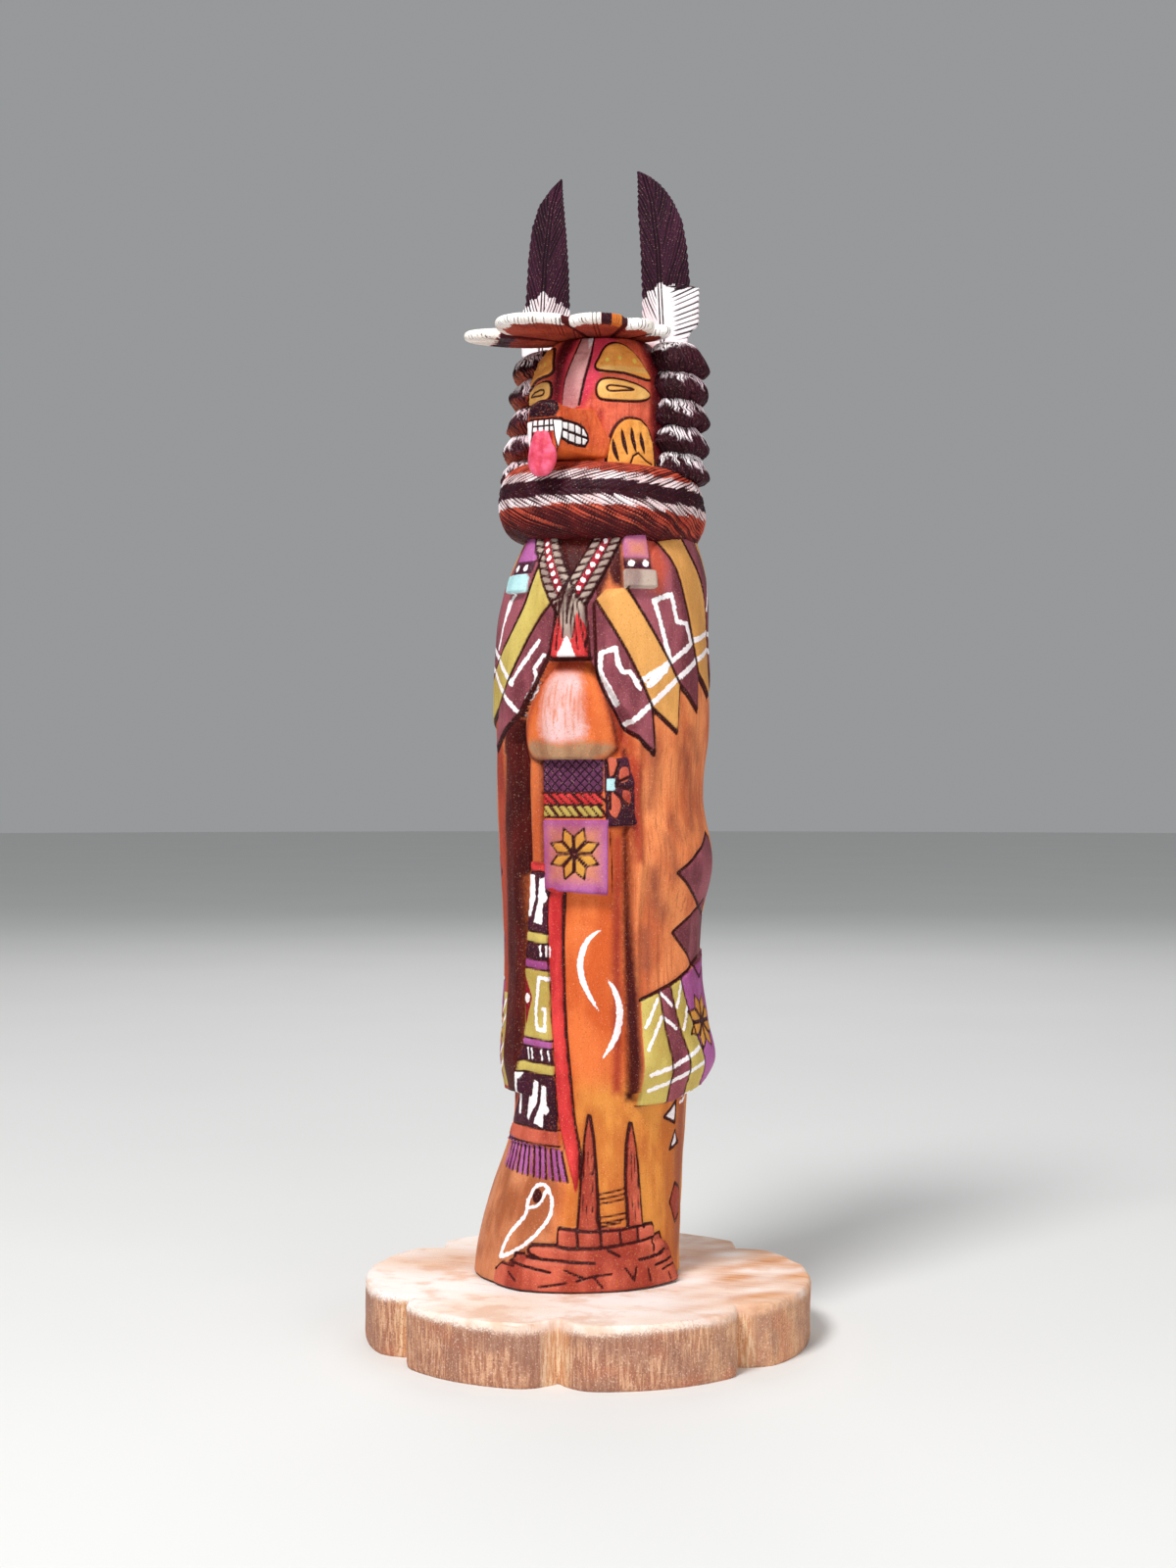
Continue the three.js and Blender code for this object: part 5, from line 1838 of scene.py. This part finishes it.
    def tongue(self) -> Piece:
        """Builds the tongue, which widens and thickens towards its tip.

        Returns:
            The tongue, dressed.
        """
        wide, deep, tall = self.tongue_half
        sleeve = Sleeve("tongue", spaced((-180, 180, 96)), spaced((-90, 90, 72)))
        around, rise = sleeve.places()
        up = np.sin(rise * ARC)
        room = np.cos(rise * ARC) ** 0.7
        swell = 1 + 0.08 * bell(up, -0.5, 0.4) - 0.16 * ease(up, -0.3, 0.8)
        x = wide * room * np.sin(around * ARC) * swell
        y = -deep * room * np.cos(around * ARC)
        groove = 0.35 * bell(x, 0, 0.8) * (np.cos(around * ARC) > 0)
        y = y + groove - 0.5 * ease(-up, 0.2, 1)
        z = self.tongue_middle + tall * up
        x, y = turned_about(x, y - self.reach + 1 + 0.06 * ripple(x, z, 55, 2), self.tongue_turn)
        bench = Bench("tongue_paint")
        cloud, speck = bench.noise(3.5, detail=3), bench.noise(0.4, detail=2, shift=4)
        colour = bench.mix(bench.span(cloud, 0.38, 0.64), (210, 58, 84), (238, 102, 136))
        colour = bench.mix(bench.span(speck, 0.58, 0.74, 0, 0.4), colour, (196, 52, 60))
        finish = bench.finish(colour, bench.span(speck, 0.3, 0.7, 0.4, 0.6), speck, 0.25, 0.5)
        return sleeve.wrapped(x, y, z, finish)


# ---- Hair ----
@dataclass
class SideHair:
    """The tiers of tied hair over one ear."""

    name: str
    side: int
    streaked: bool
    tiers: int = 5
    low: float = 222
    high: float = 249.5
    reach: float = 20.1
    angle: float = 94
    step_in: float = 0
    half: Triple = (10.4, 8.0, 4.8)

    def tier(self, k: int) -> Piece:
        """Builds one tier: a flattened bun that droops outward, cut in strands.

        Args:
            k: which tier, from the lowest.

        Returns:
            The tier.
        """
        wide, deep, tall = self.half
        sleeve = Sleeve(f"{self.name}_{k}", spaced((-180, 180, 260)), spaced((-90, 90, 66)))
        around, rise = sleeve.places()
        up, room = np.sin(rise * ARC), np.cos(rise * ARC) ** 0.42
        phase = around * 46 / 360 + 1.1 * up + 0.5 * ripple(around * 0.15, rise * 0.08, 60 + k, 3)
        cut = furrow(np.abs(phase + 90), 60 + k + 9 * self.side, 0.24) * room**0.6
        out = 1 + 0.05 * ripple(around * 0.12, rise * 0.1, 70 + k + self.side, 7) - 0.06 * cut
        out = out * (1 - 0.17 * ease(up, -0.4, 1)) * (1 + 0.03 * bell(up, -0.5, 0.3))
        x = wide * room * np.sin(around * ARC) * out
        y = -deep * room * np.cos(around * ARC) * out
        droop = 0.9 * np.clip(-y / deep, -1, 1.2)
        hem = by_strand(np.abs(phase + 90), 64 + k, -0.5, 0.5) * ease(-up, 0.3, 0.9)
        z = np.where(up > 0, up, 0.78 * up) * tall * (1 - 0.04 * cut)
        z = z - droop + 0.35 * ripple(x, y, 80 + k, 9) + 0.8 * hem
        level = self.low + (self.high - self.low) * k / (self.tiers - 1)
        strand = by_strand(np.abs(phase + 90), 61 + k, -0.5, 0.5)
        white = (0.24 if self.streaked else 0.1) - up + 0.8 * strand
        if self.streaked and k == self.tiers - 1:
            white = 0.8 - up + 0.6 * strand - 1.2 * ease(y, -1, 5) * ease(up, 0, 0.5)
        sleeve.facts = {
            Paint.WHITE.value: white * 1.6,
            Paint.BRICK.value: np.full(up.shape, 3.0) if self.streaked else (up + 0.35 + 0.5 * strand) * 1.6,
            "furrow": cut,
        }
        x, y = turned_about(x, y - self.reach + self.step_in * k, self.side * self.angle)
        return sleeve.wrapped(x, y, level + z)

    def build(self) -> Piece:
        """Builds all the tiers as one piece.

        Returns:
            The hair, dressed.
        """
        piece = joined(self.name, [self.tier(k) for k in range(self.tiers)])
        piece.data.materials.append(self.finish())
        return piece

    COATS = (
        Coat(Paint.BRICK, (170, 84, 58), (140, 58, 46), 0.5, 0.5, 0.3, 0),
        Coat(Paint.WHITE, (255, 244, 246), (234, 208, 216), 0.3, 0.6, 0.25, 0.3),
    )

    def finish(self) -> Material:
        """Dark painted hair, its upper edges brushed white."""
        return PaintedWood(
            f"{self.name}_paint", (62, 18, 34), (42, 8, 20), (86, 32, 48), self.COATS, groove=True,
            groove_colour=(38, 4, 14), gloss=0.46).made()


# ---- Feathers ----
# Edges of the two standing feathers: height over the foot, and how far outward.
LEFT_OUTER: list[Point] = [
    (0, 1.6), (3, 1.6), (7, 7), (10, 8.2), (12.4, 10.6), (21.9, 10.7), (22.4, 8.3), (32.5, 7.5), (39.3, 6.3),
    (44.3, 4), (47, 2.3), (49.3, 0.4), (51.4, -2.2), (53, -5.2)]
LEFT_INNER: list[Point] = [(0, -1.6), (3, -1.6), (7, -4.8), (18, -4.6), (34, -5.2), (44, -5.9), (53, -6.0)]
RIGHT_OUTER: list[Point] = [
    (0, 1.6), (3, 1.6), (7, 6.4), (18, 6.9), (19.8, 5.6), (34, 4.6), (40.8, 3.7), (46.4, 1.8), (50.5, -1.6),
    (52.8, -4.4)]
RIGHT_INNER: list[Point] = [(0, -1.6), (3, -1.6), (7, -5), (14, -7), (28.6, -6.6), (39.8, -5.8), (52.8, -4.7)]


@dataclass
class StandingFeather:
    """One thin carved feather that stands in the top of the head."""

    name: str
    outward: int
    place: float
    outer: list[Point]
    inner: list[Point]
    white_top: float
    foot: float = 247
    back: float = 3
    thickness: float = 1.8

    def build(self) -> Piece:
        """Builds the blade with its shaft, barb cuts and nicked edges.

        Returns:
            The feather, dressed.
        """
        rows = spaced((0, 1, 250))
        sleeve = Sleeve(self.name, spaced((-180, 180, 210)), rows)
        around, share = sleeve.places()
        tall = self.outer[-1][0]
        height = share * tall
        outer, inner = (np.interp(height, *zip(*edge)) for edge in (self.outer, self.inner))
        across = np.sin(around * ARC)
        across = np.sign(across) * np.abs(across) ** 0.8
        x = (outer + inner) / 2 + (outer - inner) / 2 * across
        off = x - np.interp(height, [0, 10, 32, 45, 53], [1.2, 1.0, -0.2, -1.9, -4.4])
        aside = np.abs(off)
        low = ease(height, self.white_top + 1, self.white_top - 2) * (off > 0) * (self.outward > 0)
        phase = (height - 2.7 * aside + 0.4 * ripple(x, height, 91, 8)) / 2.3
        phase = np.where(low > 0.5, (height - (0.06 + 0.014 * height) * aside) / 1.2, phase)
        in_tab = ease(aside, 0.8, 4.8) * ease(height, 7, 10)
        in_blade = ease(aside, 0.5, 1.4) * ease(height, self.white_top - 16, self.white_top - 3)
        cut = furrow(phase + 60, 92 + self.outward, np.where(low > 0.5, 0.12 + 0.12 * in_tab, 0.32))
        cut = cut * np.where(low > 0.5, in_tab, in_blade * by_strand(phase + 60, 97, 0.7, 1))
        x = x - np.sign(across) * 0.5 * cut * ease(np.abs(across), 0.86, 1.0)
        quill = bell(aside, 0.42, 0.2) * ease(height, 3, 8)
        thin = 1 - 0.45 * ease(height, 30, 53)
        deep = np.abs(np.cos(around * ARC)) ** 0.45 * np.sign(np.cos(around * ARC))
        y = -self.thickness / 2 * deep * thin * (1 - 0.3 * cut - 0.4 * quill)
        strand = by_strand(phase + 60, 93, -0.9, 0.9)
        white = height - self.white_top + np.where((off > 0) & (self.outward > 0), 0.15, 0.6) * aside + strand
        sleeve.facts = {Paint.WHITE.value: white, "furrow": np.maximum(cut, quill)}
        return sleeve.wrapped(x * self.outward + self.place, y + self.back, self.foot + height, self.finish())

    COATS = (
        Coat(Paint.WHITE, (255, 248, 250), (240, 222, 226), 0.2, 0.5, 0.15, 0.2),
    )

    def finish(self) -> Material:
        """Brown-black painted blade, white at its foot, with dark cuts."""
        return PaintedWood(
            f"{self.name}_paint", (62, 20, 44), (46, 10, 32), (78, 34, 56), self.COATS, groove=True,
            groove_colour=(12, 0, 6), gloss=0.58).made()


@dataclass
class FeatherFan:
    """The flat fan of five feathers that lies on the head and juts out over the brow."""

    low: float = 254.7
    thickness: float = 3
    seat: float = 7.5
    blades: tuple[Triple, ...] = (
        (-61, 36, 14), (-24, 35.8, 24), (14, 29.6, 24), (42, 25.4, 18), (70, 21.5, 15))
    marks: tuple[float, float, float, float] = (17.5, 22.5, 28.5, 32.5)  # black, orange and black on the rim

    def outline(self, angle: Array) -> tuple[Array, Array]:
        """The fan's edge, and which blade each direction falls on.

        Args:
            angle: directions round the doll.

        Returns:
            The edge's distance from the axis and the blade's number, -1 between blades.
        """
        reach = np.array(
            [length * (1 - 0.28 * (wrap(angle - aim) / half) ** 2) for aim, length, half in self.blades])
        best = np.argmax(reach, axis=0)
        edge = np.maximum(self.seat, reach.max(axis=0))
        return edge, np.where(reach.max(axis=0) > self.seat, best, -1)

    def build(self) -> Piece:
        """Builds the fan: a flat underside and top, a rounded painted rim, and cut barbs.

        Returns:
            The fan, dressed.
        """
        sleeve = Sleeve(
            "feather_fan_blades", spaced((-180, -88, 60), (-88, 98, 460), (98, 180, 50)),
            spaced((0, 1, 50), (1, 2, 14), (2, 3, 50)))
        angle, part = sleeve.places()
        edge, blade = self.outline(angle)
        inward = np.where(part < 1, part, np.where(part > 2, 3 - part, 1))
        turn = (np.clip(part, 1, 2) - 1.5) * math.pi
        rim = self.thickness / 2
        radius = (edge - rim) * inward + np.where((part >= 1) & (part <= 2), rim * np.cos(turn) ** 0.7, 0)
        lift = np.where(part < 1, -1, np.where(part > 2, 1, np.sin(turn)))
        x, y = polar(angle, radius)
        aims = np.array([b[0] for b in self.blades] + [0])[blade]
        lengths = np.array([b[1] for b in self.blades] + [8])[blade]
        off = wrap(angle - aims) * ARC
        forward, aside = radius * np.cos(off), radius * np.sin(off)
        phase = (forward - 1.3 * np.abs(aside)) / 1.5 + 200
        cut = furrow(phase, 101, 0.2) * ease(np.abs(aside), 0.5, 1.3) * ease(radius, 8, 13)
        quill = bell(np.abs(aside), 0.45, 0.2) * ease(radius, 10, 14)
        between = np.min([np.abs(wrap(angle - seam)) for seam in (-47, -2, 31, 57)], axis=0) * ARC * radius
        seam = bell(between, 0, 0.7) * ease(radius, 8, 14)
        middle = self.low + self.thickness / 2
        thin = 1 - 0.12 * ease(radius, 20, 34)
        step_up = np.array([-0.25, 0.3, 0.05, -0.2, 0.1, 0])[blade] * ease(radius, 12, 20)
        barbs, gaps = 1 - 0.12 * cut - 0.22 * quill, 1 - 0.35 * seam
        height = middle + lift * (self.thickness / 2 - 0.1) * thin * barbs * gaps + step_up * 0.8
        height = np.clip(height, self.low - 0.2, self.low + self.thickness + 0.3)
        strand = by_strand(phase, 103, -0.8, 0.8)
        tip = lengths - forward
        rimmed = np.minimum(edge - radius, np.where((part > 1) & (part < 2), 0, 99))
        white = np.where(rimmed < 3.0 + strand, -0.6, 1.5)
        black = np.full(white.shape, 3.0)
        orange = np.full(white.shape, 3.0)
        long_blade = blade == 0
        white = np.where(long_blade, np.where(tip < 8 + strand, -0.8, 1.5), white)
        black = np.where(long_blade & (tip >= 8 + strand) & (tip < 12.6 + strand), -0.6, black)
        rim_on = rimmed < 3.4 + strand
        start, first, second, end = self.marks
        for low_angle, high_angle in ((start, first), (second, end)):
            black = np.where(rim_on & (angle > low_angle) & (angle < high_angle), -0.8, black)
        orange = np.where(rim_on & (angle >= first) & (angle <= second), -0.8, orange)
        marked = (angle > start) & (angle < end)
        notched = (angle > -3.2) & (angle < -0.6)
        white = np.where(marked | notched | (blade < 0), 2.0, white)
        on_white = 0.95 * ease(-lift, -0.35, 0.25) * by_strand(phase, 107, 0.3, 1)
        furrows = np.maximum(cut * np.where(white < 0, on_white, 0.7), 0.6 * quill)
        sleeve.facts = {Paint.WHITE.value: white, Paint.INK.value: black, Paint.OCHRE.value: orange,
                        "furrow": np.maximum(furrows, seam)}
        return sleeve.wrapped(x, y, height, self.finish())

    COATS = (
        Coat(Paint.OCHRE, (232, 140, 62), (214, 112, 44), 0.3, 0.4, 0.15, 0.1),
        Coat(Paint.INK, (60, 26, 40), (40, 12, 26), 0.3, 0.4, 0.15, 0.1),
        Coat(Paint.WHITE, (255, 252, 248), (246, 236, 226), 0.4, 0.8, 0.2, 0.3),
    )

    def finish(self) -> Material:
        """Brown-red underside with white, black and orange painted rims."""
        return PaintedWood("fan_paint", (178, 74, 52), (140, 48, 36), (120, 40, 30), self.COATS, groove=True,
                           groove_colour=(70, 14, 18)).made()


# ---- Studio ----
@dataclass
class Studio:
    """The pale floor, the soft lights and the camera."""

    place: Triple = (174.9, -538.3, 141.3)
    lens: float = 50.4

    def build(self) -> None:
        """Sets up floor, lights, surroundings and camera."""
        self._floor()
        self._lights()
        data = bpy.data.cameras.new("camera")
        data.sensor_width = 36
        data.lens = self.lens
        camera = bpy.data.objects.new("camera", data)
        camera.location = Vector(self.place) * MM
        camera.rotation_euler = (math.radians(90), 0, math.radians(18))
        bpy.context.scene.collection.objects.link(camera)
        bpy.context.scene.camera = camera

    @staticmethod
    def _floor() -> None:
        """A wide pale floor."""
        bm = bmesh.new()
        bmesh.ops.create_circle(bm, cap_ends=True, segments=96, radius=6)
        mesh = bpy.data.meshes.new("floor")
        bm.to_mesh(mesh)
        bm.free()
        floor = bpy.data.objects.new("floor", mesh)
        floor.data.materials.append(Studio._pale())
        bpy.context.scene.collection.objects.link(floor)
        floor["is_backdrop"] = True

    @staticmethod
    def _pale() -> Material:
        """The floor's plain pale paper.

        Returns:
            The material.
        """
        bench = Bench("pale_paper")
        cloud = bench.noise(180, detail=2)
        colour = bench.mix(cloud, (226, 226, 224), (232, 232, 230))
        return bench.finish(colour, bench.span(cloud, 0, 1, 0.85, 0.95), cloud, 0.1, 0.1)

    @staticmethod
    def _lights() -> None:
        """One large soft key near the camera, a fill from the other side and a pale surround."""
        lamps = [
            ("key", (-0.2, -0.9, 1.2), 0.42, 18.5),
            ("fill", (1.0, -0.7, 0.4), 0.9, 4.4),
            ("rim", (-0.3, 1.1, 1), 0.9, 4),
        ]
        for name, place, size, power in lamps:
            data = bpy.data.lights.new(name, "AREA")
            data.shape = "DISK"
            data.size = size
            data.energy = power
            lamp = bpy.data.objects.new(name, data)
            lamp.location = place
            aim = Vector((0, 0, 0.13)) - Vector(place)
            lamp.rotation_euler = aim.to_track_quat("-Z", "Y").to_euler()
            bpy.context.scene.collection.objects.link(lamp)
        world = bpy.data.worlds.new("surround")
        world.use_nodes = True
        world.node_tree.nodes["Background"].inputs["Color"].default_value = (0.86, 0.88, 0.9, 1)
        world.node_tree.nodes["Background"].inputs["Strength"].default_value = 0.36
        bpy.context.scene.world = world
        bpy.context.scene.view_settings.view_transform = "Standard"


def place(piece: Piece, node: str, slot: str) -> None:
    """Lets a piece stand for a node of the frame and reports it.

    Args:
        piece: the dressed piece.
        node: which node it stands for.
        slot: its finish slot, which is not used.
    """
    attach(piece, "root")
    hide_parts(node)
    LOG.info("%s: %d faces for %s", piece.name, len(piece.data.polygons), node)


def main() -> None:
    """Builds the doll on its frame, sub-assembly by sub-assembly."""
    logging.basicConfig(level=logging.INFO, format="%(name)s: %(message)s")
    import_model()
    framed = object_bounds()
    Studio().build()
    place(BaseSlab().build(), "base", "base_wood")
    muzzle = Muzzle()
    carved = [
        RobedBody().build(), FurRuff().build(), MaskHead().build(), muzzle.snout(), muzzle.tongue(),
        SideHair("side_hair_left", 1, True).build(),
        SideHair("side_hair_right", -1, False, angle=98, step_in=0.9).build(),
    ]
    for piece in carved:
        place(piece, "figure", "painted_root")
    place(FeatherFan().build(), "feather_fan", "painted_fan")
    feathers = {
        "left": StandingFeather("standing_feather_left", 1, 14.6, LEFT_OUTER, LEFT_INNER, 23),
        "right": StandingFeather("standing_feather_right", -1, -16.6, RIGHT_OUTER, RIGHT_INNER, 23),
    }
    for side, feather in feathers.items():
        place(feather.build(), f"feather_{side}", "painted_feather")
    sizes = [[list(corner) for corner in box] for box in (framed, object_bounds())]


if __name__ == "__main__":
    main()
